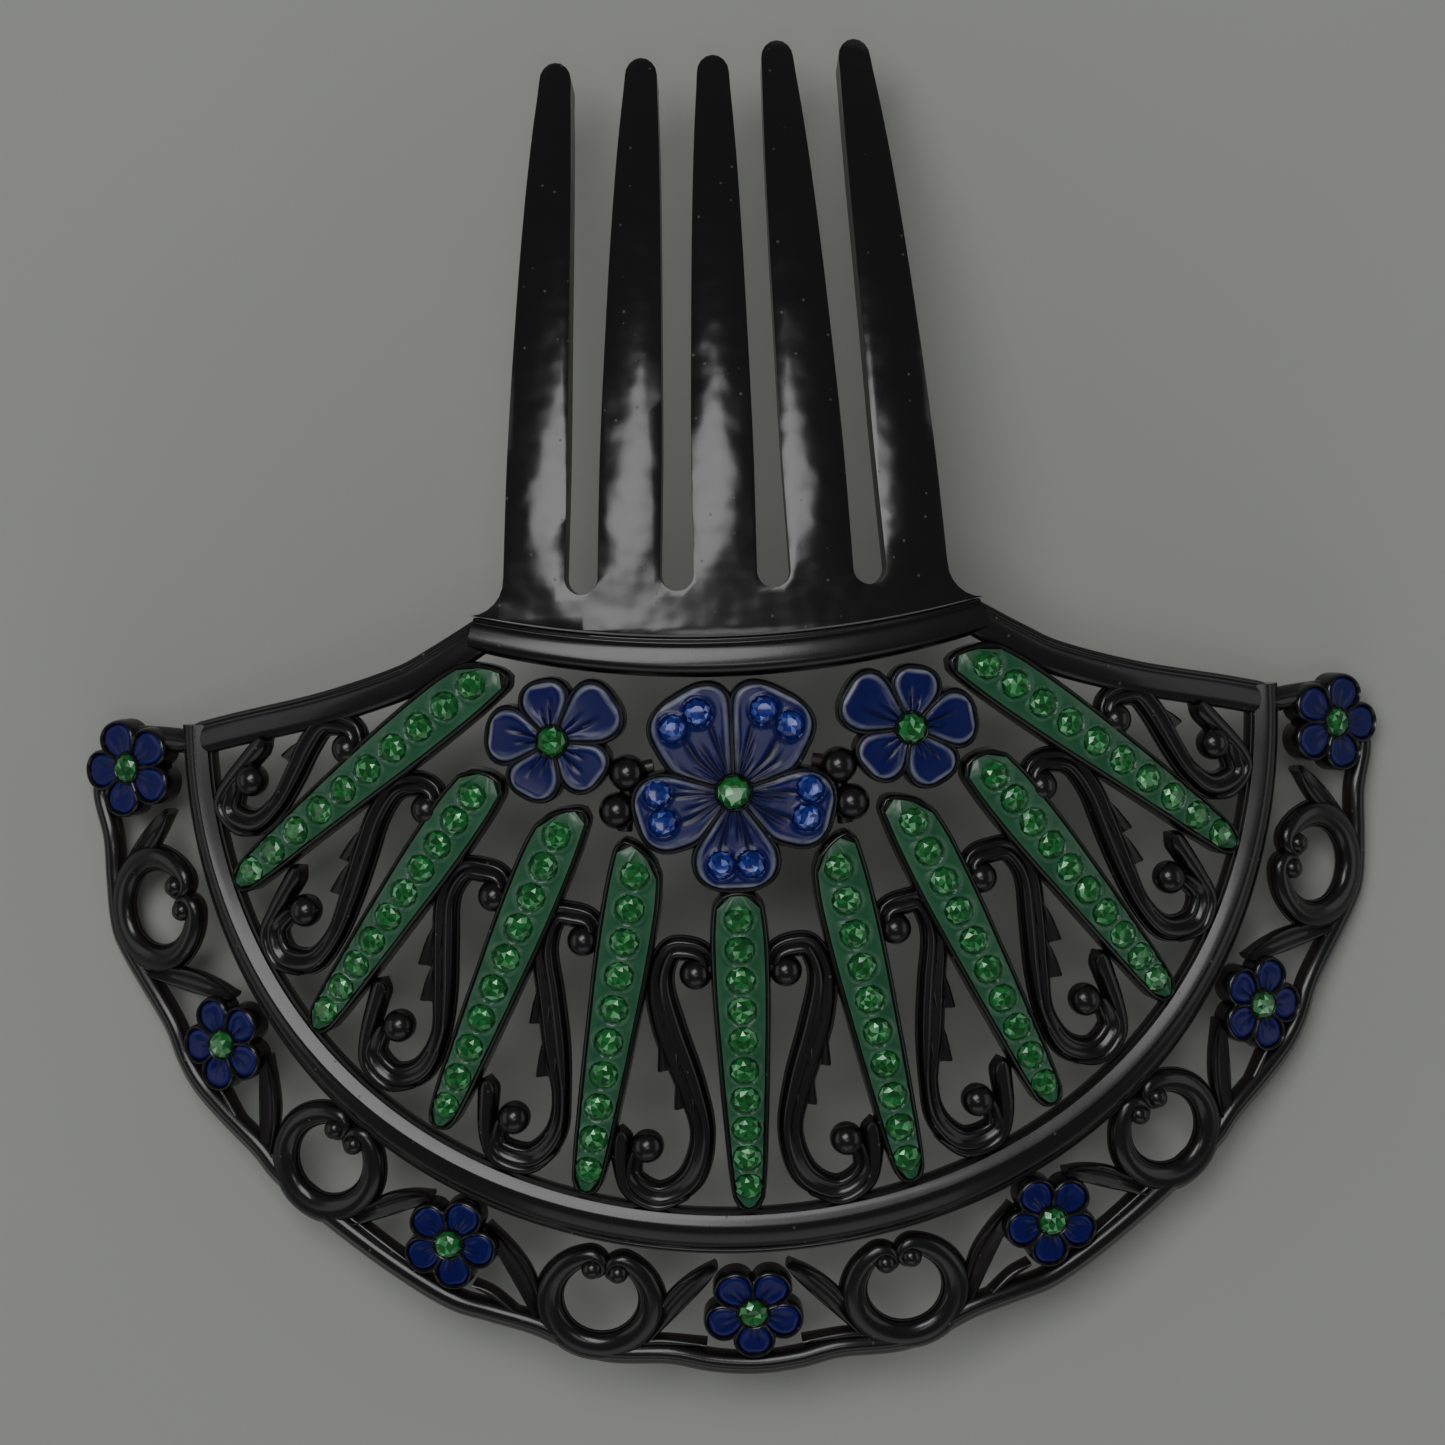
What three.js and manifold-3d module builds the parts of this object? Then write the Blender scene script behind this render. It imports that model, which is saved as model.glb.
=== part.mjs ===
// Decorative hair comb: a moulded black openwork crown on a plate of five tines, with green and
// blue enamel cells and rows of small faceted stones. Millimetres, +Z up. It lies on its arched
// back, face up, with the tines towards +Y and the crown towards -Y.
//
// Every piece is drawn flat, in millimetres across (u), along (v) and above the face (w), and
// then bent over the same arch, so pieces that meet in the flat also meet on the finished comb.
import * as THREE from 'three';
import { mergeVertices } from 'three/addons/utils/BufferGeometryUtils.js';
import { TessellateModifier } from 'three/addons/modifiers/TessellateModifier.js';
import Module from 'manifold-3d';

const wasm = await Module();
wasm.setup();

// the arch
const archRadius = 112;      // across the comb, to the face
const crownRadius = 230;     // along the crown, to the face
const tineRadius = 110;      // along the tines, to the face
const crestV = 14;           // where the two lengthways curves meet
const longestEdge = 12;      // longest flat facet edge on a bent face
const splitRounds = 24;      // times that long facets may be halved
const clearance = 0.25;      // between pieces that touch
const flatTolerance = 0.03;  // facets flatter than this to each other are merged
const mergeDistance = 1e-4;  // corners nearer than this become one
const cutMargin = 1;         // cuts reach this far past what they cut

// overall sizes of the crown; its drawing below is for the drawn sizes and stretches with these
const crownHalfWidth = 84.6;
const crownDepth = 79.6;
const drawnHalfWidth = 84.6;
const drawnDepth = 79.6;
const stretch = new THREE.Vector2(crownHalfWidth / drawnHalfWidth, crownDepth / drawnDepth);

// heights above and below the face
const crownThickness = 3.2;
const raisedRib = 0.5;       // rim band, header and flower rims stand this far above the face
const ballRise = 0.9;
const ballDomeShare = 0.6;   // the flat top of a ball's dome, as a share of its radius
const ballFacets = 7;
const cellDepth = 1.3;       // from the top of a cell's rim to its floor
const enamelThickness = 0.7;
const frameWall = 0.85;      // black rim round an enamel cell

// tine plate
const tineCount = 5;
const tineWidth = 7;
const tineTipWidth = 3.6;
const slotWidth = 3.75;
const tipPitch = 8.4;
const tineLength = 66.5;
const tineTipShift = [[-0.7, 0], [0.9, 0], [0.8, 0], [-0.1, 2.3], [0.5, 2.3]];  // from an even spread
const tineTaper = [[0, 1], [0.1, 1], [0.4, 0.84], [0.7, 0.68], [0.9, 0.56], [0.965, 0.42], [1, 0.14]];
const tineTipShare = 0.56;   // of the taper, where the tip width is measured
const tineThickness = 2.6;
const tineEdge = 0.5;        // chamfer round each tine
const plateInset = 0.3;      // the plate's back stands this far in from the crown's back
const plateFacetEdge = 16;   // the plate is nearly flat, so its facets may be longer
const tinePitch = tineWidth + slotWidth;
const plateHalfWidth = tinePitch * (tineCount - 1) / 2 + tineWidth / 2;
const flareRadius = 4;       // where the plate's sides spread into the wings
const flareSteps = 4;
const slotFacets = 12;
const seamSteps = 10;

// header between the tine plate and the crown
const seamV = 8.4;
const seamRadius = 128;
const headerHeight = 4.6;
const headerRadius = 105;
const plateHeight = 5.1;     // from the seam to the floor of the slots
const wingHalfWidth = 1.95;
const wingOverlap = 0.8;     // how far a wing runs into the header
const wingRun = [[38, 4.4], [48, 2], [60, 0.1], [66.5, -1]];
const wingSteps = 14;

// the D-shaped rim band, between two half ellipses
const bandCentreV = -1.2;
const bandInner = { across: 64.2, down: 57.2 };
const bandSideWidth = 3.8;
const bandFootWidth = 5.1;
const bandSteps = 30;
const bandOverlap = THREE.MathUtils.degToRad(2);  // how far the band runs up into the wings

// stones
const stoneFacets = 8;
const spokeStone = { radius: 1.5, height: 0.9 };
const petalStone = { radius: 1.5, height: 0.9 };
const bigCentreStone = { radius: 1.85, height: 1.2 };
const midCentreStone = { radius: 1.65, height: 1.1 };
const smallCentreStone = { radius: 1.7, height: 1.1 };
const stonesPerSpoke = 10;
const firstStoneInset = 2.7;
const cementWidth = 1.1;
const cementThickness = 0.25;

// colours
const black = { color: 0x1b1a1c, roughness: 0.25, metalness: 0 };
const greenEnamel = { color: 0x2f6b48, roughness: 0.35, metalness: 0 };
const blueEnamel = { color: 0x2b2f86, roughness: 0.35, metalness: 0 };
const greenStone = { color: 0x3fae5a, roughness: 0.1, metalness: 0.2 };
const blueStone = { color: 0x1f3fd0, roughness: 0.1, metalness: 0.2 };

// spokes of the fan, one side: the ends of the green cell
const spokeHalfWidth = 2.65;
const spokeTaper = [[0, 0.3], [0.06, 0.78], [0.3, 1], [0.65, 0.84], [0.95, 0.52], [1, 0.2]];
const spokes = [
  { inner: [0, -20.6], outer: [0, -57.2] },
  { inner: [10.8, -15.2], outer: [18.6, -54.6] },
  { inner: [18.8, -10.6], outer: [35.6, -46.4] },
  { inner: [27.8, -6.2], outer: [50.6, -34.6] },
  { inner: [26.8, 5.6], outer: [60.2, -17.6] },
];

// scrolls between the spokes, one side: the run of the rib with its half widths, then its balls
const scrollStepsPerPoint = 1.6;
const budFacets = 5;
const leafHalf = [0.5, 0.75];
const scrolls = [
  {
    run: [[5.6, -27.2], [8, -27], [9.2, -30.5], [8.3, -36], [6.2, -42.5], [5, -48.5], [6.5, -53.8],
      [10.2, -55.8], [13.2, -53.6], [12.6, -49.8]],
    half: [0.9, 1.1, 1.4, 1.9, 1.7, 1.4, 1.6, 1.5, 1.3, 0.9],
    balls: [[5.2, -28.4, 1.9], [11.4, -49.8, 1.95]],
    bud: [14.4, -48.9, 1.3],
    leaves: [[8.8, -34, 9, -40.8], [7, -38.5, 7.3, -45.4]],
  },
  {
    run: [[18.3, -22.6], [20.8, -22.4], [22.2, -26], [21.8, -31.5], [21.4, -37.5], [21.1, -43.5],
      [22, -48], [25, -50.8], [28.8, -49.4], [28.2, -45.8]],
    half: [0.9, 1.1, 1.4, 1.6, 1.6, 1.1, 1.3, 1.6, 1.4, 0.9],
    balls: [[17.8, -24.1, 1.95], [26.8, -46, 1.95]],
    bud: [29.8, -42.6, 1.4],
    leaves: [[22.4, -29, 23.6, -34.8], [22.2, -35, 23.1, -41.1]],
  },
  {
    run: [[28.6, -17.2], [31.3, -16.9], [33.4, -19.8], [34, -25], [34.4, -31], [35.2, -36],
      [37.6, -40], [41.2, -40.8], [43.6, -38], [41.9, -34.6]],
    half: [0.9, 1.1, 1.4, 1.6, 1.5, 1.2, 1.5, 1.6, 1.5, 1],
    balls: [[28, -18.7, 1.95], [40.2, -34.8, 1.95]],
    bud: [42.5, -30.6, 1.4],
    leaves: [[34.6, -22, 36.6, -27.7], [35, -26.5, 36.6, -31.9]],
  },
  {
    run: [[36.3, -7.2], [39.2, -7.4], [41.6, -10.4], [43.6, -15], [45.5, -19.5], [47.8, -24],
      [51, -27], [54.8, -26.4], [55.8, -23.2], [53.1, -20.9]],
    half: [0.9, 1.1, 1.4, 1.6, 1.5, 1.3, 1.5, 1.6, 1.4, 1],
    balls: [[35.6, -8.6, 1.95], [51.6, -21.1, 1.95]],
    bud: [53, -17.3, 1.6],
    leaves: [[42.6, -10.8, 46, -15.4], [44.4, -14.6, 47.4, -19.2]],
  },
  {
    run: [[45.6, 0.1], [48.2, 0.1], [50.3, -2.2], [52.4, -5.6], [54.8, -8.8], [58, -10.7],
      [61.3, -9.2], [59.9, -5.9]],
    half: [0.9, 1.1, 1.4, 1.4, 1.3, 1.5, 1.5, 1],
    balls: [[45.2, -1.4, 1.9], [58.2, -5.8, 1.95]],
    bud: [57, -2.1, 1.5],
    leaves: [[50.2, -1.2, 53.2, -3.6]],
  },
];

// border of the crown, one side
const ringHole = 4.6;
const ringHalfWidth = 1.55;
const ringFacets = 14;
const ringHoleFacets = 12;
const rings = [
  { centre: [17.7, -68.7], curls: [[15.5, -65, 1.5], [19.6, -64.2, 1.5]] },
  { centre: [50.4, -51], curls: [[47.2, -48.9, 1.5], [50.2, -46.7, 1.5]] },
  { centre: [73.4, -20.6], curls: [[70.8, -17.7, 1.5], [69.2, -20.9, 1.5]] },
];
const stems = [
  [[4.6, -64.6], [8, -69.2], [13, -75.2]],
  [[30.8, -59.3], [27, -65.5], [24.9, -72]],
  [[37.5, -55.3], [42.5, -56.7], [48.5, -58.8]],
  [[58.3, -38.5], [58.4, -45], [59.4, -51]],
  [[62.8, -31], [69, -29.2], [77, -27.9]],
  [[71.2, -9.2], [75.2, -13.2], [80.4, -17.5]],
  [[66, -1.3], [69.5, -1.2], [73, -1.5]],
  [[66, -6.4], [69.5, -6.6], [73, -6.6]],
];
const stemHalf = [0.9, 1.35, 0.9];
const stemSteps = 3;
const edgeHalfWidth = 1.4;
const edgeSteps = 26;
const edgeRun = [
  [0, -78.2], [5, -77.7], [10, -76.5], [18, -76], [25.5, -72.4], [31, -70.7], [36, -69],
  [43.3, -64.3], [51.5, -58.2], [57.6, -53.4], [60.6, -50], [65.2, -45.9], [68.9, -42.3],
  [71.1, -38.9], [73.2, -34.2], [79.4, -26], [81.2, -22.5], [81.6, -17], [81.7, -12],
  [83.1, -6.8],
];

// flowers: centre, the angle and reach of each petal, and the widest half width of a petal; the
// big flower has a pair of stones on each petal, at an angle and reach of their own
const bigFlower = {
  centre: [0, -9], hub: 2.2, petalHalf: 4.5, stone: bigCentreStone,
  petals: [[-90, 10.7], [-15, 11.1], [62, 12.4], [118, 12.4], [195, 11.1]],
  pairs: [[-90, 8.1], [-10, 8.4], [58, 9.6], [122, 9.6], [190, 8.4]],
};
const midFlower = {
  centre: [20.1, -2.6], hub: 1.9, petalHalf: 3, stone: midCentreStone,
  petals: [[9, 7.3], [82, 6.6], [148, 8.2], [220, 6.7], [-60, 6.7]],
};
const petalSteps = 4;          // straight steps along each side of a petal
const petalRoot = 0.5;         // where a petal starts, as a share of the hub
const petalWaist = 0.3;        // how far out its sides begin to spread, as a share of its length
const petalWaistHalf = 0.55;   // and how far they have spread there
const petalShoulder = 1.9;     // pull of the sides at the tip, which sets how square it is
const hubFacets = 5;
const smallPetals = [-90, -18, 54, 126, 198];
const smallPetalRadius = 1.9;
const smallPetalFacets = 8;
const smallHubFacets = 10;
const hubOverlap = 0.8;        // the hub of a small flower reaches this far into its petals
const smallFlowers = [
  { centre: [0, -70.7], turn: 0, reach: [3.8, 3.8] },
  { centre: [35.3, -61.2], turn: -5, reach: [3.8, 3.8] },
  { centre: [64, -36.8], turn: 16, reach: [3.8, 3.8] },
  { centre: [76.6, -3.9], turn: 16, reach: [4.8, 3.6] },
];
const petalStoneGap = 0.3;     // between the two stones of a petal
const beads = [[11.9, -6.5, 1.95], [13.5, -10.8, 1.95]];
const beadWebs = [[[9, -6], [15, -6.8]], [[11.9, -6.5], [12.6, -13.6]]];
const webHalfWidth = 0.9;

const sides = [{ name: 'right', sign: 1 }, { name: 'left', sign: -1 }];
const upFromBack = -crownThickness;
const radians = THREE.MathUtils.degToRad;
const origin = new THREE.Vector2();

// a point of the crown's drawing, on one side of the comb
function drawn([u, v], sign = 1) {
  return new THREE.Vector2(sign * u, v);
}

// the same point once the drawing is stretched to the crown's overall sizes
function at(point, sign = 1) {
  return drawn(point, sign).multiply(stretch);
}

function solidFrom(geometry) {
  const bare = new THREE.BufferGeometry();
  bare.setAttribute('position', geometry.getAttribute('position'));
  bare.setIndex(geometry.getIndex());
  const merged = mergeVertices(bare, mergeDistance);
  const vertProperties = new Float32Array(merged.getAttribute('position').array);
  const triVerts = new Uint32Array(merged.getIndex().array);
  return new wasm.Manifold(new wasm.Mesh({ numProp: 3, vertProperties, triVerts }));
}

// a flat slab with the given outline, between two heights
function slab(outline, bottom, top) {
  const options = { depth: top - bottom, bevelEnabled: false };
  const geometry = new THREE.ExtrudeGeometry(new THREE.Shape(outline), options);
  return solidFrom(geometry.translate(0, 0, bottom));
}

// a slab of the crown, from an outline of the drawing
function crownSlab(outline, bottom, top) {
  return slab(outline.map((point) => point.clone().multiply(stretch)), bottom, top);
}

function join(solids) {
  return solids.reduce((whole, solid) => whole.add(solid));
}

// coplanar facets left by joins and cuts are merged
function clean(solid) {
  return solid.asOriginal().simplify(flatTolerance);
}

// a round outline or, widened, an oval one
function discOutline(centre, radius, segments, widening = 1) {
  const outline = [];
  for (let i = 0; i < segments; i += 1) {
    const angle = 2 * Math.PI * (i + 0.5) / segments;
    const across = radius * widening * Math.cos(angle);
    outline.push(new THREE.Vector2(centre.x + across, centre.y + radius * Math.sin(angle)));
  }
  return outline;
}

// a value that follows a list of values smoothly, t from 0 to 1
function blend(values, t) {
  const curve = new THREE.SplineCurve(values.map((value, i) => new THREE.Vector2(i, value)));
  return curve.getPoint(t).y;
}

// the outline of a rib that follows a run of points, with a half width at each point
function ribOutline(run, half, steps) {
  const curve = new THREE.SplineCurve(run);
  const near = [];
  const far = [];
  for (let i = 0; i <= steps; i += 1) {
    const t = i / steps;
    const point = curve.getPoint(t);
    const along = curve.getTangent(t);
    const across = new THREE.Vector2(-along.y, along.x).multiplyScalar(blend(half, t));
    near.push(point.clone().add(across));
    far.unshift(point.clone().sub(across));
  }
  return near.concat(far);
}

function rib(run, half, steps, sign) {
  return crownSlab(ribOutline(run.map((point) => drawn(point, sign)), half, steps), upFromBack, 0);
}

// a round post of the crown, from the back to the face
function post([u, v, radius], sign, segments) {
  return crownSlab(discOutline(drawn([u, v], sign), radius, segments), upFromBack, 0);
}

// a post from the back with a domed head
function ball([u, v, radius], sign) {
  const centre = at([u, v], sign);
  const domeRadius = radius * ballDomeShare;
  const profile = [[0, upFromBack], [radius, upFromBack], [radius, 0], [domeRadius, ballRise], [0, ballRise]];
  const lathe = new THREE.LatheGeometry(profile.map(([r, w]) => new THREE.Vector2(r, w)), ballFacets);
  return solidFrom(lathe.rotateX(Math.PI / 2).translate(centre.x, centre.y, 0));
}

// the seam between tine plate and header, and the header's lower edge, as heights over u
const seamAt = (u) => seamV + seamRadius - Math.sqrt(seamRadius ** 2 - u ** 2);
const headerFootAt = (u) => seamV - headerHeight + headerRadius - Math.sqrt(headerRadius ** 2 - u ** 2);
const seamHalf = plateHalfWidth + flareRadius;

function arcPoints(heightAt, fromU, toU, steps) {
  const points = [];
  for (let i = 0; i <= steps; i += 1) {
    const u = THREE.MathUtils.lerp(fromU, toU, i / steps);
    points.push(new THREE.Vector2(u, heightAt(u)));
  }
  return points;
}

// a spoke's cell in the drawing, grown outwards by a wall or a clearance
function spokeOutline(spoke, sign, grow) {
  const inner = drawn(spoke.inner, sign);
  const outer = drawn(spoke.outer, sign);
  const along = outer.clone().sub(inner).normalize();
  const across = new THREE.Vector2(-along.y, along.x);
  const length = inner.distanceTo(outer);
  const near = [];
  const far = [];
  for (const [t, share] of spokeTaper) {
    const end = Math.sign(t - 0.5) * (t === 0 || t === 1 ? grow : 0);
    const point = inner.clone().addScaledVector(along, t * length + end);
    const half = spokeHalfWidth * share + grow;
    near.push(point.clone().addScaledVector(across, half));
    far.unshift(point.clone().addScaledVector(across, -half));
  }
  return near.concat(far);
}

// one petal, pointing along its angle, grown outwards
function petalOutline(flower, angle, reach, sign, grow) {
  const tip = reach + grow;
  const half = flower.petalHalf + grow;
  const start = flower.hub * petalRoot;
  const waist = THREE.MathUtils.lerp(start, tip, petalWaist);
  const waistHalf = petalWaistHalf * half;
  const shoulder = petalShoulder * half;
  const shape = new THREE.Shape();
  shape.moveTo(start, 0);
  shape.bezierCurveTo(waist, waistHalf, tip, shoulder, tip, 0);
  shape.bezierCurveTo(tip, -shoulder, waist, -waistHalf, start, 0);
  const centre = drawn(flower.centre, sign);
  const turned = shape.getPoints(petalSteps).slice(0, -1);
  return turned.map((point) => {
    point.rotateAround(origin, radians(angle));
    return new THREE.Vector2(centre.x + sign * point.x, centre.y + point.y);
  });
}

function petalFlower(flower, sign, grow, bottom, top) {
  const outlines = flower.petals.map(([angle, reach]) => petalOutline(flower, angle, reach, sign, grow));
  outlines.push(discOutline(drawn(flower.centre, sign), flower.hub + grow, hubFacets));
  return join(outlines.map((outline) => crownSlab(outline, bottom, top)));
}

// a small border flower of round petals
function roundFlower(flower, sign, grow, bottom, top) {
  const centre = drawn(flower.centre, sign);
  const widening = flower.reach[0] / flower.reach[1];
  const outlines = smallPetals.map((angle) => {
    const turned = radians(angle + flower.turn);
    const across = sign * flower.reach[0] * Math.cos(turned);
    const spot = new THREE.Vector2(centre.x + across, centre.y + flower.reach[1] * Math.sin(turned));
    return discOutline(spot, smallPetalRadius + grow, smallPetalFacets, widening);
  });
  const hub = flower.reach[1] - smallPetalRadius + hubOverlap;
  outlines.push(discOutline(centre, hub + grow, smallHubFacets, widening));
  return join(outlines.map((outline) => crownSlab(outline, bottom, top)));
}

// the place of a flat point on the arch, and the direction that faces out there
function onArch(u, v, w) {
  const across = u / archRadius;
  const radius = v < crestV ? crownRadius : tineRadius;
  const along = (v - crestV) / radius;
  const out = new THREE.Vector3(
    Math.sin(across) * Math.cos(along),
    Math.cos(across) * Math.sin(along),
    Math.cos(across) * Math.cos(along),
  ).normalize();
  const place = new THREE.Vector3(
    archRadius * Math.sin(across),
    crestV + radius * Math.sin(along),
    -archRadius * (1 - Math.cos(across)) - radius * (1 - Math.cos(along)),
  );
  return { place: place.addScaledVector(out, w), out };
}

function geometryFrom(solid) {
  const mesh = solid.getMesh();
  const geometry = new THREE.BufferGeometry();
  geometry.setAttribute('position', new THREE.BufferAttribute(new Float32Array(mesh.vertProperties), 3));
  geometry.setIndex(new THREE.BufferAttribute(new Uint32Array(mesh.triVerts), 1));
  return geometry;
}

// long facets are split until they follow the arch, then every corner is moved onto it
function bent(solid, edge = longestEdge) {
  const fine = new TessellateModifier(edge, splitRounds).modify(geometryFrom(clean(solid)));
  const geometry = mergeVertices(fine, mergeDistance);
  const corners = geometry.getAttribute('position');
  for (let i = 0; i < corners.count; i += 1) {
    const { place } = onArch(corners.getX(i), corners.getY(i), corners.getZ(i));
    corners.setXYZ(i, place.x, place.y, place.z);
  }
  geometry.computeVertexNormals();
  return geometry;
}

function piece(name, geometry, look) {
  const mesh = new THREE.Mesh(geometry, new THREE.MeshStandardMaterial(look));
  mesh.name = name;
  return mesh;
}

function tine(index) {
  const place = index - (tineCount - 1) / 2;
  const foot = seamAt(plateHalfWidth) + tineEdge + clearance;
  const slotFloor = seamV + plateHeight;
  const [tipU, tipV] = tineTipShift[index];
  const run = [
    new THREE.Vector2(place * tinePitch, foot),
    new THREE.Vector2(place * tinePitch, slotFloor),
    new THREE.Vector2(place * tipPitch + tipU, slotFloor + tineLength + tipV),
  ];
  const narrow = tineTipWidth / 2 / tineTipShare;
  const near = [run[0].clone().add(new THREE.Vector2(-tineWidth / 2 + tineEdge, 0))];
  const far = [run[0].clone().add(new THREE.Vector2(tineWidth / 2 - tineEdge, 0))];
  for (const [t, share] of tineTaper) {
    const full = THREE.MathUtils.lerp(tineWidth / 2, narrow, t);
    const half = full * share - tineEdge * share;
    const centre = run[1].clone().lerp(run[2], t);
    near.push(new THREE.Vector2(centre.x - half, centre.y - tineEdge * t));
    far.unshift(new THREE.Vector2(centre.x + half, centre.y - tineEdge * t));
  }
  const options = {
    depth: tineThickness - 2 * tineEdge,
    bevelEnabled: true, bevelSize: tineEdge, bevelThickness: tineEdge, bevelSegments: 1,
  };
  const geometry = new THREE.ExtrudeGeometry(new THREE.Shape(near.concat(far)), options);
  return solidFrom(geometry.translate(0, 0, upFromBack + plateInset + tineEdge));
}

function tinePlate() {
  const bottom = upFromBack + plateInset;
  const top = bottom + tineThickness;
  const slotFloor = seamV + plateHeight;
  const shoulder = slotFloor + slotWidth / 2;
  const outline = arcPoints((u) => seamAt(u) + clearance / 2, -seamHalf, seamHalf, seamSteps);
  const flareTop = seamAt(seamHalf) + flareRadius;
  for (const sign of [1, -1]) {
    const flare = [];
    for (let i = 1; i <= flareSteps; i += 1) {
      const angle = Math.PI / 2 * i / flareSteps;
      const u = seamHalf - flareRadius * Math.sin(angle);
      flare.push(new THREE.Vector2(sign * u, flareTop - flareRadius * Math.cos(angle)));
    }
    flare.push(new THREE.Vector2(sign * plateHalfWidth, shoulder));
    outline.push(...(sign > 0 ? flare : flare.reverse()));
  }
  let plate = slab(outline, bottom, top);
  for (let i = 0; i < tineCount; i += 1) {
    plate = plate.add(tine(i));
  }
  for (let i = 0; i < tineCount - 1; i += 1) {
    const centre = new THREE.Vector2((i - (tineCount - 2) / 2) * tinePitch, shoulder);
    const floor = discOutline(centre, slotWidth / 2, slotFacets);
    plate = plate.subtract(slab(floor, bottom - cutMargin, top + cutMargin));
  }
  return piece('tine_plate', bent(plate, plateFacetEdge), black);
}

function header() {
  const upper = arcPoints((u) => seamAt(u) - clearance / 2, -seamHalf, seamHalf, seamSteps);
  const lower = arcPoints(headerFootAt, seamHalf, -seamHalf, seamSteps);
  return slab(upper.concat(lower), upFromBack, raisedRib);
}

function wing(sign) {
  const startV = (seamAt(seamHalf) + headerFootAt(seamHalf)) / 2 - clearance;
  const start = new THREE.Vector2(sign * (seamHalf - wingOverlap), startV);
  const startHalf = (seamAt(seamHalf) - headerFootAt(seamHalf)) / 2 - 2 * clearance;
  const half = [startHalf, ...wingRun.map(() => wingHalfWidth)];
  const outline = ribOutline([start, ...wingRun.map((point) => at(point, sign))], half, wingSteps);
  return slab(outline, upFromBack, 0);
}

// a point of the rim band's inner ellipse, or further out by a width
function bandPoint(angle, width) {
  const across = (bandInner.across + width) * Math.cos(angle);
  return drawn([across, bandCentreV - (bandInner.down + width) * Math.sin(angle)]);
}

function rimBand() {
  const inner = [];
  const outer = [];
  for (let i = 0; i <= bandSteps; i += 1) {
    const angle = THREE.MathUtils.lerp(-bandOverlap, Math.PI + bandOverlap, i / bandSteps);
    const width = THREE.MathUtils.lerp(bandSideWidth, bandFootWidth, Math.sin(angle) ** 2);
    inner.push(bandPoint(angle, 0));
    outer.unshift(bandPoint(angle, width));
  }
  return crownSlab(inner.concat(outer), upFromBack, raisedRib);
}

function scroll(design, sign) {
  const steps = Math.round((design.run.length - 1) * scrollStepsPerPoint);
  const parts = [rib(design.run, design.half, steps, sign)];
  for (const spot of design.balls) {
    parts.push(ball(spot, sign));
  }
  parts.push(post(design.bud, sign, budFacets));
  for (const [fromU, fromV, toU, toV] of design.leaves) {
    parts.push(rib([[fromU, fromV], [toU, toV]], leafHalf, 1, sign));
  }
  return join(parts);
}

function ring(design, sign) {
  const [u, v] = design.centre;
  const outside = post([u, v, ringHole + 2 * ringHalfWidth], sign, ringFacets);
  const holeOutline = discOutline(drawn([u, v], sign), ringHole, ringHoleFacets);
  const hole = crownSlab(holeOutline, upFromBack - cutMargin, cutMargin);
  const curls = design.curls.map((curl) => post(curl, sign, budFacets));
  return join([outside.subtract(hole), ...curls]);
}

function border(sign) {
  const parts = [rib(edgeRun, [edgeHalfWidth, edgeHalfWidth], edgeSteps, sign)];
  for (const design of rings) {
    parts.push(ring(design, sign));
  }
  for (const run of stems) {
    parts.push(rib(run, stemHalf, stemSteps, sign));
  }
  return join(parts);
}

const cellFloor = raisedRib - cellDepth;
const cutTop = raisedRib + 2 * cutMargin;

function flowersOf(sign) {
  const small = smallFlowers.filter((flower) => sign > 0 || flower.centre[0] > 0);
  const middle = sign > 0 ? [bigFlower, midFlower] : [midFlower];
  return { small, middle };
}

function spokesOf(sign) {
  return spokes.filter((spoke) => sign > 0 || spoke.inner[0] > 0);
}

function crown() {
  const parts = [header(), rimBand()];
  const cells = [];
  for (const { sign } of sides) {
    parts.push(wing(sign), border(sign));
    for (const design of scrolls) {
      parts.push(scroll(design, sign));
    }
    for (const spot of beads) {
      parts.push(ball(spot, sign));
    }
    for (const run of beadWebs) {
      parts.push(rib(run, [webHalfWidth, webHalfWidth], 1, sign));
    }
    for (const spoke of spokesOf(sign)) {
      parts.push(crownSlab(spokeOutline(spoke, sign, frameWall), upFromBack, raisedRib));
      cells.push(crownSlab(spokeOutline(spoke, sign, clearance), cellFloor, cutTop));
    }
    const { small, middle } = flowersOf(sign);
    for (const flower of middle) {
      parts.push(petalFlower(flower, sign, frameWall, upFromBack, raisedRib));
      cells.push(petalFlower(flower, sign, clearance, cellFloor, cutTop));
    }
    for (const flower of small) {
      parts.push(roundFlower(flower, sign, frameWall, upFromBack, raisedRib));
      cells.push(roundFlower(flower, sign, clearance, cellFloor, cutTop));
    }
  }
  return piece('crown', bent(join(parts).subtract(join(cells))), black);
}

function enamelPieces() {
  const pieces = [];
  const fillBottom = cellFloor + clearance;
  for (const { name, sign } of sides) {
    spokesOf(sign).forEach((spoke) => {
      const outline = spokeOutline(spoke, sign, 0);
      const fill = crownSlab(outline, fillBottom, fillBottom + enamelThickness);
      pieces.push(piece(`enamel_spoke_${labelOf(spokes, spoke, name)}`, bent(fill), greenEnamel));
    });
    const { small, middle } = flowersOf(sign);
    for (const flower of middle) {
      const fill = petalFlower(flower, sign, 0, fillBottom, fillBottom + enamelThickness);
      const label = flower === bigFlower ? 'centre' : `top_${name}`;
      pieces.push(piece(`enamel_flower_${label}`, bent(fill), blueEnamel));
    }
    for (const flower of small) {
      const fill = roundFlower(flower, sign, 0, fillBottom, fillBottom + enamelThickness);
      const label = labelOf(smallFlowers, flower, name);
      pieces.push(piece(`enamel_flower_border_${label}`, bent(fill), blueEnamel));
    }
  }
  return pieces;
}

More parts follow.
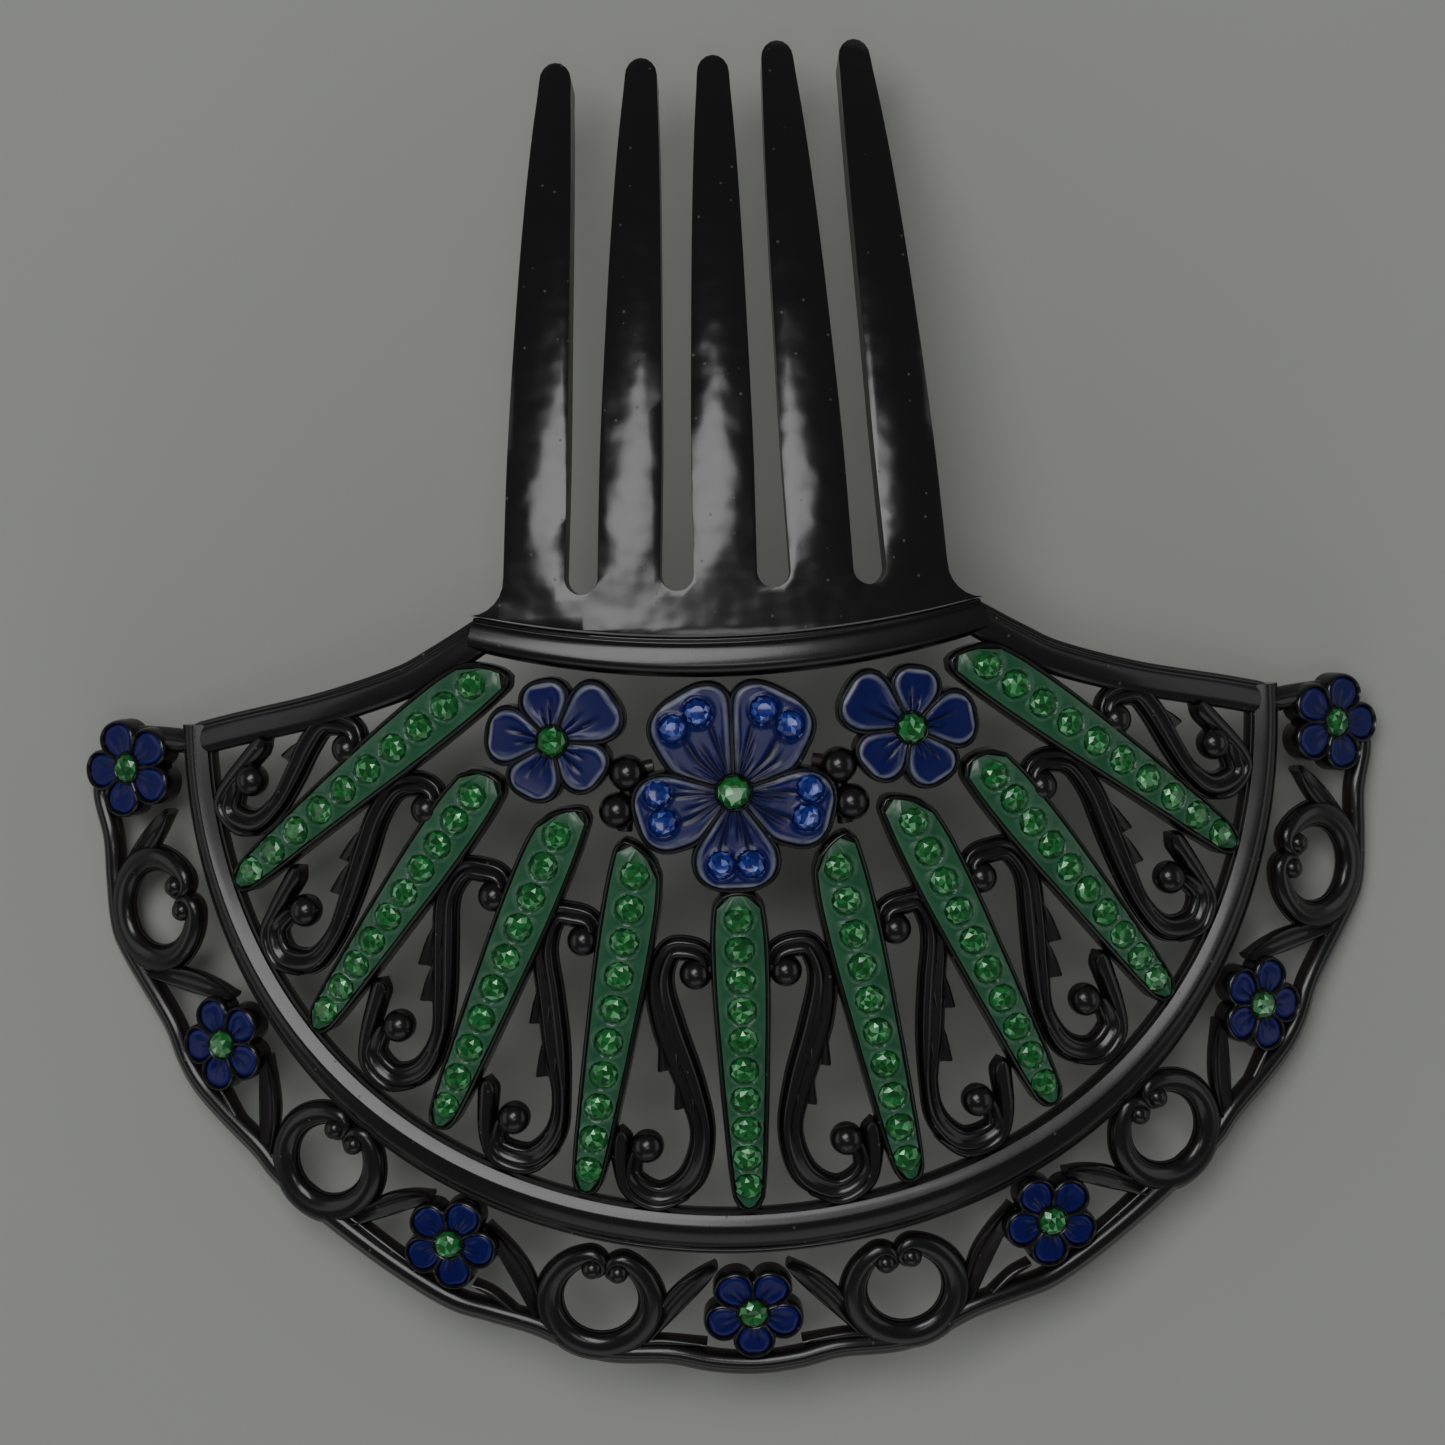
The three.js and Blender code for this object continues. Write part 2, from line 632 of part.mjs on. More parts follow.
// the first design of a list lies on the middle line; the rest come in pairs
function labelOf(list, design, side) {
  const index = list.indexOf(design);
  return index === 0 ? 'middle' : `${side}_${index}`;
}

const stoneTableShare = 0.62;  // the flat top of a stone, as a share of its radius

// a flat-backed stone, with its back at height 0
function stoneGeometry({ radius, height }) {
  const profile = [[0, 0], [radius, 0], [radius * stoneTableShare, height], [0, height]];
  const lathe = new THREE.LatheGeometry(profile.map(([r, w]) => new THREE.Vector2(r, w)), stoneFacets);
  return lathe.rotateX(Math.PI / 2);
}

// how far along a spoke its outer end has narrowed to a share of its full width
function taperPlace(share) {
  for (let i = spokeTaper.length - 1; i > 0; i -= 1) {
    const [t, wide] = spokeTaper[i - 1];
    const [nextT, nextWide] = spokeTaper[i];
    if (wide >= share) {
      return THREE.MathUtils.mapLinear(share, wide, nextWide, t, nextT);
    }
  }
  return 0;
}

// the stones of one spoke on their line of cement; the last one is as wide as the enamel there
function stoneRow(spoke, sign) {
  const inner = at(spoke.inner, sign);
  const outer = at(spoke.outer, sign);
  const length = inner.distanceTo(outer);
  const drawnLength = drawn(spoke.inner).distanceTo(drawn(spoke.outer));
  const widening = stretch.x * stretch.y * drawnLength / length;
  const seat = cellFloor + clearance + enamelThickness + clearance / 2;
  const first = inner.clone().lerp(outer, firstStoneInset / length);
  const last = inner.clone().lerp(outer, taperPlace(spokeStone.radius / (spokeHalfWidth * widening)));
  const half = cementWidth / 2;
  const line = slab(ribOutline([first, last], [half, half], 1), seat, seat + cementThickness);
  const parts = [line];
  for (let i = 0; i < stonesPerSpoke; i += 1) {
    const spot = first.clone().lerp(last, i / (stonesPerSpoke - 1));
    parts.push(solidFrom(stoneGeometry(spokeStone).translate(spot.x, spot.y, seat)));
  }
  return join(parts);
}

// a single stone, set square to the arch at its seat
function setStone(name, size, look, u, v) {
  const seat = cellFloor + clearance + enamelThickness + clearance / 2;
  const { place, out } = onArch(u, v, seat);
  const stone = piece(name, mergeBare(stoneGeometry(size)), look);
  stone.position.copy(place);
  stone.quaternion.setFromUnitVectors(new THREE.Vector3(0, 0, 1), out);
  return stone;
}

function mergeBare(geometry) {
  geometry.deleteAttribute('uv');
  geometry.deleteAttribute('normal');
  const merged = mergeVertices(geometry, mergeDistance);
  merged.computeVertexNormals();
  return merged;
}

function stonePieces() {
  const pieces = [];
  for (const { name, sign } of sides) {
    for (const spoke of spokesOf(sign)) {
      const label = labelOf(spokes, spoke, name);
      pieces.push(piece(`stone_row_${label}`, bent(stoneRow(spoke, sign)), greenStone));
    }
    const { small, middle } = flowersOf(sign);
    for (const flower of middle) {
      const centre = at(flower.centre, sign);
      const label = flower === bigFlower ? 'centre' : `top_${name}`;
      pieces.push(setStone(`stone_flower_${label}`, flower.stone, greenStone, centre.x, centre.y));
    }
    for (const flower of small) {
      const centre = at(flower.centre, sign);
      const label = labelOf(smallFlowers, flower, name);
      pieces.push(setStone(`stone_border_${label}`, smallCentreStone, greenStone, centre.x, centre.y));
    }
  }
  bigFlower.pairs.forEach(([angle, reach], petal) => {
    [-1, 1].forEach((spread, pair) => {
      const aside = new THREE.Vector2(0, spread * (petalStone.radius + petalStoneGap / 2));
      const spot = new THREE.Vector2(reach, 0).rotateAround(origin, radians(angle));
      spot.add(drawn(bigFlower.centre)).multiply(stretch).add(aside.rotateAround(origin, radians(angle)));
      const name = `stone_petal_${petal + 1}${'ab'[pair]}`;
      pieces.push(setStone(name, petalStone, blueStone, spot.x, spot.y));
    });
  });
  return pieces;
}

const comb = new THREE.Group();
comb.name = 'hair_comb';
comb.add(tinePlate(), crown(), ...enamelPieces(), ...stonePieces());

// the origin is the middle of the box round the comb, at its lowest point
const box = new THREE.Box3().setFromObject(comb, true);
const middle = box.getCenter(new THREE.Vector3());
comb.position.set(-middle.x, -middle.y, -box.min.z);

export default comb;
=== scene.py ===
# Decorative hair comb: a black celluloid crown and tines, enamelled cells and foil-backed stones.
# Every piece is drawn flat in millimetres, u across, v along and w above the face, and finishPiece
# bends it over the comb's arch.
import math
import random

import bmesh
import bpy
from mathutils import Matrix, Vector


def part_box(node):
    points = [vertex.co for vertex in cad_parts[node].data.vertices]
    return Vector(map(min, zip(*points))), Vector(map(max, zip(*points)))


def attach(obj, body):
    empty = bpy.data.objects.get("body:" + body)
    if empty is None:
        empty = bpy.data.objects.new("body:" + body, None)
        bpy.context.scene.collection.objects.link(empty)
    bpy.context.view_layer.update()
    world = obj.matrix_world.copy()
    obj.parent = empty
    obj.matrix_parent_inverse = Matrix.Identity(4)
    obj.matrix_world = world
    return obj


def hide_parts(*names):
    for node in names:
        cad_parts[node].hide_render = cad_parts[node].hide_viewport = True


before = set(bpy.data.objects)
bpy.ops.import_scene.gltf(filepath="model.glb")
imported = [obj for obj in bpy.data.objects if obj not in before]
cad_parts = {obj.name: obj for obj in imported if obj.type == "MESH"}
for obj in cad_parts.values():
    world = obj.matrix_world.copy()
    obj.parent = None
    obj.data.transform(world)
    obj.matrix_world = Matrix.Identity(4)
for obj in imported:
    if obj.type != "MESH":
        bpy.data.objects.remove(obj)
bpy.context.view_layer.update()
print("frame loaded:", len(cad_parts), "nodes")

mm = 0.001
arch = {
    "across": 112,          # radius over the comb
    "crown": 230,           # radius along the crown
    "tines": 110,           # radius along the tines
    "crestV": 14,           # where the two lengthways curves meet
    "thickness": 3.2,
}
backW = -arch["thickness"]


# a flat point bent over the arch, still in millimetres
def archPoint(flat):
    across = flat.x / arch["across"]
    radius = arch["crown"] if flat.y < arch["crestV"] else arch["tines"]
    along = (flat.y - arch["crestV"]) / radius
    out = Vector((
        math.sin(across) * math.cos(along),
        math.cos(across) * math.sin(along),
        math.cos(across) * math.cos(along),
    )).normalized()
    place = Vector((
        arch["across"] * math.sin(across),
        arch["crestV"] + radius * math.sin(along),
        -arch["across"] * (1 - math.cos(across)) - radius * (1 - math.cos(along)),
    ))
    return place + out * flat.z


# the middle enamel cell says where the bent sheet lies in the frame
middleCell = {"innerV": -20.6, "outerV": -57.2, "topW": 0.15}
cellLow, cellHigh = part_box("enamel_spoke_middle")
cellInner = archPoint(Vector((0, middleCell["innerV"], middleCell["topW"])))
cellOuter = archPoint(Vector((0, middleCell["outerV"], middleCell["topW"])))
sheetShift = Vector((0, cellLow.y / mm - cellOuter.y, cellHigh.z / mm - cellInner.z))


def finishPiece(name, bm, material, nodes, sharpAngle=38):
    bmesh.ops.remove_doubles(bm, verts=bm.verts[:], dist=0.002)
    bmesh.ops.recalc_face_normals(bm, faces=bm.faces[:])
    flatLayer = bm.verts.layers.float_vector.new("flat")
    for vert in bm.verts:
        vert[flatLayer] = vert.co
        vert.co = (archPoint(vert.co) + sheetShift) * mm
    mesh = bpy.data.meshes.new(name)
    bm.to_mesh(mesh)
    bm.free()
    mesh.materials.append(material)
    mesh.shade_smooth()
    mesh.set_sharp_from_angle(angle=math.radians(sharpAngle))
    piece = bpy.data.objects.new(name, mesh)
    bpy.context.scene.collection.objects.link(piece)
    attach(piece, "root")
    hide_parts(*nodes)
    return piece


# a part of the crown's one moulding
def finishMoulding(name, bm, sharpAngle=60):
    finishPiece(name, bm, black, ["crown"], sharpAngle)


def mirrorOver(bm):
    everything = bm.verts[:] + bm.edges[:] + bm.faces[:]
    bmesh.ops.mirror(bm, geom=everything, axis="X", merge_dist=0)


# the vertices, or the edges, among what an operator made
def only(kind, items):
    return [item for item in items if isinstance(item, kind)]


# adds a finished side shape to a piece
def pour(bm, source):
    mesh = bpy.data.meshes.new("shape")
    source.to_mesh(mesh)
    source.free()
    bm.from_mesh(mesh)
    bpy.data.meshes.remove(mesh)


# the way from one flat point to another, and the way across it
def heading(start, finish):
    along = (finish - start).normalized()
    return along, Vector((-along.y, along.x))


# a smooth value between evenly spaced ones
def catmull(values, t):
    last = len(values) - 1
    place = min(max(t, 0), 1) * last
    i = min(int(place), last - 1)
    x = place - i
    a = values[max(i - 1, 0)]
    b = values[i]
    c = values[i + 1]
    d = values[min(i + 2, last)]
    m1 = (c - a) * 0.5
    m2 = (d - b) * 0.5
    return b + m1 * x + ((c - b) * 3 - m1 * 2 - m2) * x ** 2 + ((b - c) * 2 + m1 + m2) * x ** 3


# points every so many millimetres along a smooth curve, with the half width at each
def smoothRun(points, half, spacing=0.5):
    spots = [Vector(point) for point in points]
    length = sum((b - a).length for a, b in zip(spots, spots[1:]))
    steps = max(int(length / spacing), 4)
    path = [catmull(spots, k / steps) for k in range(steps + 1)]
    return path, [catmull(half, k / steps) for k in range(steps + 1)]


# half widths brought in to a round end at the finish of a path, and at its start
def roundEnds(path, half, start=True, least=0.12):
    rounded = list(half)
    for order in [range(len(path))[::-1]] + ([range(len(path))] if start else []):
        gone = 0
        before = order[0]
        for i in order:
            gone += (path[i] - path[before]).length
            before = i
            if gone >= half[i]:
                break
            rounded[i] = min(rounded[i], half[i] * max(least, math.sqrt(1 - (1 - gone / half[i]) ** 2)))
    return rounded


def polar(degrees):
    return Vector((math.cos(math.radians(degrees)), math.sin(math.radians(degrees))))


def circlePath(centre, radius, fromAngle, toAngle, steps):
    angles = [fromAngle + (toAngle - fromAngle) * k / steps for k in range(steps + 1)]
    return [Vector(centre) + polar(angle) * radius for angle in angles]


# a rib along a path; its section is listed once round as (share of the half width, height above
# the back), or comes from a function of how far along the path it stands
def sweep(bm, path, half, section, closed=False, rise=None):
    count = len(path)
    rings = []
    for i, point in enumerate(path):
        before = path[i - 1] if closed or i > 0 else point
        after = path[(i + 1) % count] if closed or i < count - 1 else point
        across = heading(before, after)[1] * half[i]
        tall = rise[i] if rise else 1
        shape = section(i / (count - 1)) if callable(section) else section
        rings.append([Vector((*(point + across * share), backW + height * tall)) for share, height in shape])
    first = [bm.verts.new(place) for place in rings[0]]
    firstEdges = [bm.edges.new((first[i - 1], first[i])) for i in range(len(first))]
    verts = first
    edges = firstEdges
    for ring in rings[1:] + (rings[:1] if closed else []):
        made = bmesh.ops.extrude_edge_only(bm, edges=edges)["geom"]
        fresh = set(only(bmesh.types.BMVert, made))
        edges = only(bmesh.types.BMEdge, made)
        links = [[edge.other_vert(vert) for edge in vert.link_edges] for vert in verts]
        verts = [next(other for other in others if other in fresh) for others in links]
        for vert, place in zip(verts, ring):
            vert.co = place
    if closed:
        bmesh.ops.remove_doubles(bm, verts=first + verts, dist=0.002)
    else:
        bmesh.ops.edgeloop_fill(bm, edges=firstEdges)
        bmesh.ops.edgeloop_fill(bm, edges=edges)


# a rounded rib on a thin ledge, narrowing to the back, the way a mould leaves it
def ribSection(top, ledge=0.2, ledgeHeight=2.0, fullness=0.62, steps=8):
    left = [(-0.35, 0.6), (-0.75, 1.0), (-1, ledgeHeight - 0.15), (-0.97, ledgeHeight + 0.12)]
    left += [(-1 + ledge * 0.7, ledgeHeight + 0.12)]
    middle = []
    for k in range(steps + 1):
        angle = math.pi * (1 - k / steps)
        low = ledgeHeight - 0.12
        middle.append((math.cos(angle) * (1 - ledge), low + (top - low) * math.sin(angle) ** fullness))
    right = [(-share, height) for share, height in reversed(left)]
    return left + middle + right


# a flat solid with the given outline, cut into small faces so that it bends smoothly
def slab(bm, outline, low, high, edge=0.0, cut=2.5):
    flat = bmesh.new()
    face = flat.faces.new([flat.verts.new((point.x, point.y, low)) for point in outline])
    made = bmesh.ops.extrude_face_region(flat, geom=[face])["geom"]
    bmesh.ops.translate(flat, verts=only(bmesh.types.BMVert, made), vec=(0, 0, high - low))
    bmesh.ops.recalc_face_normals(flat, faces=flat.faces[:])
    if edge:
        rims = [item for item in flat.edges if abs(item.verts[0].co.z - item.verts[1].co.z) < 1e-6]
        bmesh.ops.bevel(flat, geom=rims, offset=edge, segments=3, profile=0.5, affect="EDGES",
                        material=-1, clamp_overlap=True)
    for axis in (0, 1):
        normal = Vector((1 - axis, axis, 0))
        places = [vert.co[axis] for vert in flat.verts]
        for k in range(math.ceil(min(places) / cut), math.floor(max(places) / cut) + 1):
            geom = flat.verts[:] + flat.edges[:] + flat.faces[:]
            bmesh.ops.bisect_plane(flat, geom=geom, plane_co=normal * (k * cut), plane_no=normal,
                                   dist=1e-5)
    pour(bm, flat)


ballSizes = {"postFoot": 0.55, "postTop": 0.97, "footGap": 0.7, "around": 24, "rows": 14}


# a ball on a round post that narrows to the back
def ball(bm, u, v, radius, topW):
    centreW = topW - radius
    place = Matrix.Translation((u, v, centreW))
    bmesh.ops.create_uvsphere(bm, u_segments=ballSizes["around"], v_segments=ballSizes["rows"],
                              radius=radius, matrix=place)
    tall = centreW - backW - ballSizes["footGap"]
    post = Matrix.Translation((u, v, centreW - tall / 2))
    bmesh.ops.create_cone(bm, cap_ends=True, segments=ballSizes["around"], matrix=post, depth=tall,
                          radius1=radius * ballSizes["postFoot"], radius2=radius * ballSizes["postTop"])


def paint(hexColour):
    channels = [int(hexColour[i:i + 2], 16) / 255 for i in (1, 3, 5)]
    linear = [c / 12.92 if c <= 0.04045 else ((c + 0.055) / 1.055) ** 2.4 for c in channels]
    return (*linear, 1)


# adds a node with its settings, and links or sets its inputs
def addNode(tree, kind, settings=None, inputs=None):
    node = tree.nodes.new("ShaderNode" + kind)
    for name, value in (settings or {}).items():
        setattr(node, name, value)
    for name, value in (inputs or {}).items():
        if isinstance(value, bpy.types.NodeSocket):
            tree.links.new(value, node.inputs[name])
        else:
            node.inputs[name].default_value = value
    return node


def newMaterial(name):
    material = bpy.data.materials.new(name)
    material.use_nodes = True
    material.node_tree.nodes.clear()
    return material, material.node_tree


# the shader itself, once its patterns are there
def addSurface(tree, inputs):
    shader = addNode(tree, "BsdfPrincipled", inputs=inputs)
    addNode(tree, "OutputMaterial", inputs={"Surface": shader.outputs["BSDF"]})


# a pattern's scale from the size of its features in millimetres
def perMetre(featureMm):
    return 1 / (featureMm * mm)


# celluloid, moulded and polished: deep black with a soft sheen, brown where it is thin, dust in
# the low places and a faint ripple from the mould
def blackCelluloid(name, rippleMm, rippleStrength, gloss):
    look = {"body": "#151416", "thin": "#26130f", "dust": "#8d877c", "dustMm": 0.42, "patchMm": 5}
    material, tree = newMaterial(name)
    here = addNode(tree, "TexCoord").outputs["Object"]
    flat = addNode(tree, "Attribute", {"attribute_name": "flat"}).outputs["Vector"]
    height = addNode(tree, "SeparateXYZ", inputs={"Vector": flat}).outputs["Z"]
    low = addNode(tree, "MapRange", inputs={
        "Value": height, "From Min": -0.5, "From Max": -1.5, "To Min": 0, "To Max": 1,
    }).outputs["Result"]
    patch = addNode(tree, "TexNoise", inputs={
        "Vector": here, "Scale": perMetre(look["patchMm"]), "Detail": 4, "Roughness": 0.6,
    }).outputs["Fac"]
    brown = addNode(tree, "Math", {"operation": "MULTIPLY"}, {0: low, 1: patch}).outputs[0]
    body = addNode(tree, "Mix", {"data_type": "RGBA"}, {
        "Factor": brown, "A": paint(look["body"]), "B": paint(look["thin"]),
    }).outputs["Result"]
    specks = addNode(tree, "TexVoronoi", inputs={
        "Vector": here, "Scale": perMetre(look["dustMm"] * 3), "Randomness": 1,
    })
    near = addNode(tree, "MapRange", inputs={
        "Value": specks.outputs["Distance"], "From Min": 0.16, "From Max": 0.06, "To Min": 0, "To Max": 1,
    }).outputs["Result"]
    chosen = addNode(tree, "SeparateColor", inputs={"Color": specks.outputs["Color"]})
    few = addNode(tree, "Math", {"operation": "GREATER_THAN"}, {0: chosen.outputs["Red"], 1: 0.8})
    speck = addNode(tree, "Math", {"operation": "MULTIPLY"}, {0: near, 1: few.outputs[0]}).outputs[0]
    strength = addNode(tree, "Math", {"operation": "MULTIPLY"}, {0: speck, 1: 0.35}).outputs[0]
    coloured = addNode(tree, "Mix", {"data_type": "RGBA"}, {
        "Factor": strength, "A": body, "B": paint(look["dust"]),
    }).outputs["Result"]
    rough = gloss
    for dull, share in ((low, 0.2), (patch, 0.12), (speck, 0.4)):
        rough = addNode(tree, "Math", {"operation": "MULTIPLY_ADD"}, {
            0: dull, 1: share, 2: rough,
        }).outputs[0]
    ripple = addNode(tree, "TexNoise", inputs={
        "Vector": here, "Scale": perMetre(rippleMm), "Detail": 1,
    }).outputs["Fac"]
    waved = addNode(tree, "Bump", inputs={
        "Strength": rippleStrength, "Distance": 0.25 * mm, "Height": ripple,
    }).outputs["Normal"]
    grain = addNode(tree, "TexNoise", inputs={
        "Vector": here, "Scale": perMetre(look["dustMm"]), "Detail": 3,
    }).outputs["Fac"]
    bumped = addNode(tree, "Bump", inputs={
        "Strength": 0.12, "Distance": 0.03 * mm, "Height": grain, "Normal": waved,
    }).outputs["Normal"]
    addSurface(tree, {
        "Base Color": coloured, "Roughness": rough, "Normal": bumped, "IOR": 1.5, "Coat Weight": 0.3,
        "Coat Roughness": 0.12,
    })
    return material


# cold enamel brushed into the cells and then smoothed by rubbing: satin, a little mottled, paler and greyer
# where rubbing has thinned it, with a painted sheen on the petal rims and a painted highlight at the inner
# end of each green cell mixed into the same pale colour; green is even, blue darkens in the engraved petal
# lines
enamelLooks = {
    "enamel_green_satin": {
        "body": "#1f6a43", "deep": "#174d34", "wornSheen": "#8fa592", "wornSheenShare": 1, "mottleMm": 3.5,
        "mottleRoughness": 0.6, "gloss": 0.26, "bump": 0.15, "bumpMm": 0.06, "specular": 0.5, "coat": 0.2,
    },
    "enamel_blue_rubbing_sheen": {
        "body": "#10155a", "deep": "#05071f", "wornSheen": "#9297a2", "wornSheenShare": 1.8, "mottleMm": 2.2,
        "mottleRoughness": 0.65, "gloss": 0.22, "bump": 0.12, "bumpMm": 0.05, "specular": 0.3, "coat": 0.15,
    },
}
enamelLooks["enamel_blue_deep"] = {
    **enamelLooks["enamel_blue_rubbing_sheen"], "body": "#06095c", "deep": "#03052e", "wornSheen": "#343c86",
    "wornSheenShare": 0.5,
}


def coldEnamel(name):
    look = enamelLooks[name]
    material, tree = newMaterial(name)
    here = addNode(tree, "TexCoord").outputs["Object"]
    wearAndSheen = addNode(tree, "Attribute", {"attribute_name": "wearAndSheen"}).outputs["Fac"]
    mottle = addNode(tree, "TexNoise", inputs={
        "Vector": here, "Scale": perMetre(look["mottleMm"]), "Detail": 5,
        "Roughness": look["mottleRoughness"],
    }).outputs["Fac"]
    if "blue" in name:
        vein = addNode(tree, "Attribute", {"attribute_name": "vein"}).outputs["Fac"]
        blend = {"Factor": vein, "A": paint(look["body"]), "B": paint(look["deep"])}
    else:
        blend = {"Factor": mottle, "A": paint(look["deep"]), "B": paint(look["body"])}
    base = addNode(tree, "Mix", {"data_type": "RGBA"}, blend).outputs["Result"]
    # the pale mix: paler from rubbing, plus painted sheen and painted highlight
    rubbedSheen = addNode(tree, "Math", {"operation": "MULTIPLY"}, {0: wearAndSheen, 1: mottle}).outputs[0]
    share = addNode(tree, "Math", {"operation": "MULTIPLY"}, {0: rubbedSheen, 1: look["wornSheenShare"]}).outputs[0]
    coloured = addNode(tree, "Mix", {"data_type": "RGBA"}, {
        "Factor": share, "A": base, "B": paint(look["wornSheen"]),
    }).outputs["Result"]
    rough = addNode(tree, "Math", {"operation": "MULTIPLY_ADD"}, {
        0: mottle, 1: 0.16, 2: look["gloss"],
    }).outputs[0]
    bumped = addNode(tree, "Bump", inputs={
        "Strength": look["bump"], "Distance": look["bumpMm"] * mm, "Height": mottle,
    }).outputs["Normal"]
    addSurface(tree, {
        "Base Color": coloured, "Roughness": rough, "Normal": bumped, "IOR": 1.5,
        "Specular IOR Level": look["specular"], "Coat Weight": look["coat"], "Coat Roughness": look["coat"],
    })
    return material


# pressed glass on foil under a hard clear gloss: the light that the foil throws back through the facets is
# painted on, each facet given its own random painted brightness between the deep and the pale colour, and
# the brightest facets a painted near-white flare
def foiledGlass(name, deep, paintedBright, paintedFlash):
    material, tree = newMaterial(name)
    paintedGlint = addNode(tree, "Attribute", {"attribute_name": "paintedGlint"}).outputs["Fac"]
    paintedFacetLight = addNode(tree, "Mix", {"data_type": "RGBA"}, {
        "Factor": paintedGlint, "A": paint(deep), "B": paint(paintedBright),
    }).outputs["Result"]
    paintedSparkle = addNode(tree, "MapRange", inputs={
        "Value": paintedGlint, "From Min": 0.78, "From Max": 1, "To Min": 0, "To Max": 1,
    }).outputs["Result"]
    coloured = addNode(tree, "Mix", {"data_type": "RGBA"}, {
        "Factor": paintedSparkle, "A": paintedFacetLight, "B": paint(paintedFlash),
    }).outputs["Result"]
    addSurface(tree, {
        "Base Color": coloured, "Roughness": 0.12, "Metallic": 0.2, "IOR": 1.55, "Coat Weight": 0.8,
        "Coat Roughness": 0.03,
    })
    return material


black = blackCelluloid("celluloid_black_polished", 7, 0.25, 0.2)
tineBlack = blackCelluloid("celluloid_black_rippled", 4.2, 0.9, 0.14)
green = coldEnamel("enamel_green_satin")
petalBlue = coldEnamel("enamel_blue_rubbing_sheen")
borderBlue = coldEnamel("enamel_blue_deep")
greenGlass = foiledGlass("glass_green_foiled", "#0c5223", "#2b9a47", "#8fdda2")
blueGlass = foiledGlass("glass_blue_foiled", "#08146c", "#1a3cb4", "#7f9be6")
print("materials made")

tinePlateSizes = {
    "tines": 5, "width": 7.0, "slot": 3.75, "tipPitch": 8.4, "length": 66.5,
    "seamV": 8.4, "seamRadius": 128, "slotFloorV": 13.5, "flare": 4.0,
    "bottomW": -2.9, "topW": -0.3, "edge": 1.15, "crown": 0.34, "cut": 1.6, "tipStretch": 1.5, "gap": 0.12,
    "taper": [1, 1, 0.99, 0.95, 0.9, 0.85, 0.79, 0.72, 0.63, 0.53],
    # how far each tip lies from an even spread, across and along
    "tipShift": [(-0.7, -0.3), (0.9, -0.3), (0.8, -0.3), (-0.1, 1.7), (0.5, 1.7)],
}


def seamAt(u):
    radius = tinePlateSizes["seamRadius"]
    return tinePlateSizes["seamV"] + radius - math.sqrt(radius ** 2 - u ** 2)


tinePitch = tinePlateSizes["width"] + tinePlateSizes["slot"]
plateHalf = tinePitch * (tinePlateSizes["tines"] - 1) / 2 + tinePlateSizes["width"] / 2
seamHalf = plateHalf + tinePlateSizes["flare"]


# the two sides of a tine and its round tip, from the left root to the right root
def tineOutline(index):
    sizes = tinePlateSizes
    place = index - (sizes["tines"] - 1) / 2
    rootV = sizes["slotFloorV"] + sizes["slot"] / 2
    tipU, tipV = sizes["tipShift"][index]
    tipV += sizes["slotFloorV"] + sizes["length"]
    left = []
    right = []
    steps = 26
    for k in range(steps + 1):
        t = k / steps
        half = sizes["width"] / 2 * catmull(sizes["taper"], t)
        v = rootV + (tipV - rootV) * t
        u = place * (tinePitch + (sizes["tipPitch"] - tinePitch) * t) + tipU * t
        left.append(Vector((u - half, v)))
        right.append(Vector((u + half, v)))
    tipHalf = (right[-1] - left[-1]).length / 2
    tipLong = tipHalf * sizes["tipStretch"]
    tipCentre = (right[-1] + left[-1]) / 2
    cap = []
    for k in range(1, 8):
        angle = math.pi * (1 - k / 8)
        cap.append(tipCentre + Vector((math.cos(angle) * tipHalf, math.sin(angle) * tipLong)))
    # the whole tine is drawn in, so that its round tip ends at the set length
    for point in left[1:] + right[1:] + cap:
        point.y -= tipLong * (point.y - rootV) / (tipV - rootV)
    return left + cap + right[::-1]


def makeTinePlate():
    sizes = tinePlateSizes
    outline = []
    for i in range(sizes["tines"]):
        outline += tineOutline(i)
        if i < sizes["tines"] - 1:
            u = (i - (sizes["tines"] - 2) / 2) * tinePitch
            floorV = sizes["slotFloorV"] + sizes["slot"] / 2
            outline += circlePath((u, floorV), sizes["slot"] / 2, 180, 360, 20)[1:-1]
    flareV = seamAt(seamHalf) + sizes["flare"]
    outline += circlePath((seamHalf, flareV), sizes["flare"], 180, 270, 6)
    steps = 24
    outline += [Vector((seamHalf * (1 - 2 * k / steps), 0)) for k in range(1, steps)]
    for point in outline[-(steps - 1):]:
        point.y = seamAt(point.x) + sizes["gap"]
    outline += circlePath((-seamHalf, flareV), sizes["flare"], 270, 360, 6)
    bm = bmesh.new()
    slab(bm, outline, sizes["bottomW"], sizes["topW"], edge=sizes["edge"], cut=sizes["cut"])
    # each tine's face is a little crowned across
    for vert in bm.verts:
        if vert.co.z < sizes["topW"] - 0.05 or vert.co.y < sizes["slotFloorV"]:
            continue
        t = (vert.co.y - sizes["slotFloorV"]) / sizes["length"]
        pitch = tinePitch + (sizes["tipPitch"] - tinePitch) * t
        shifts = [tipU * t for tipU, _ in sizes["tipShift"]]
        middles = [(i - (sizes["tines"] - 1) / 2) * pitch + shift for i, shift in enumerate(shifts)]
        off = min(abs(vert.co.x - middle) for middle in middles) / (sizes["width"] / 2)
        vert.co.z += sizes["crown"] * min(t * 12, 1) * max(1 - off ** 2, 0)
    finishPiece("tinePlate", bm, tineBlack, ["tine_plate"], 60)


makeTinePlate()
print("tine plate made")

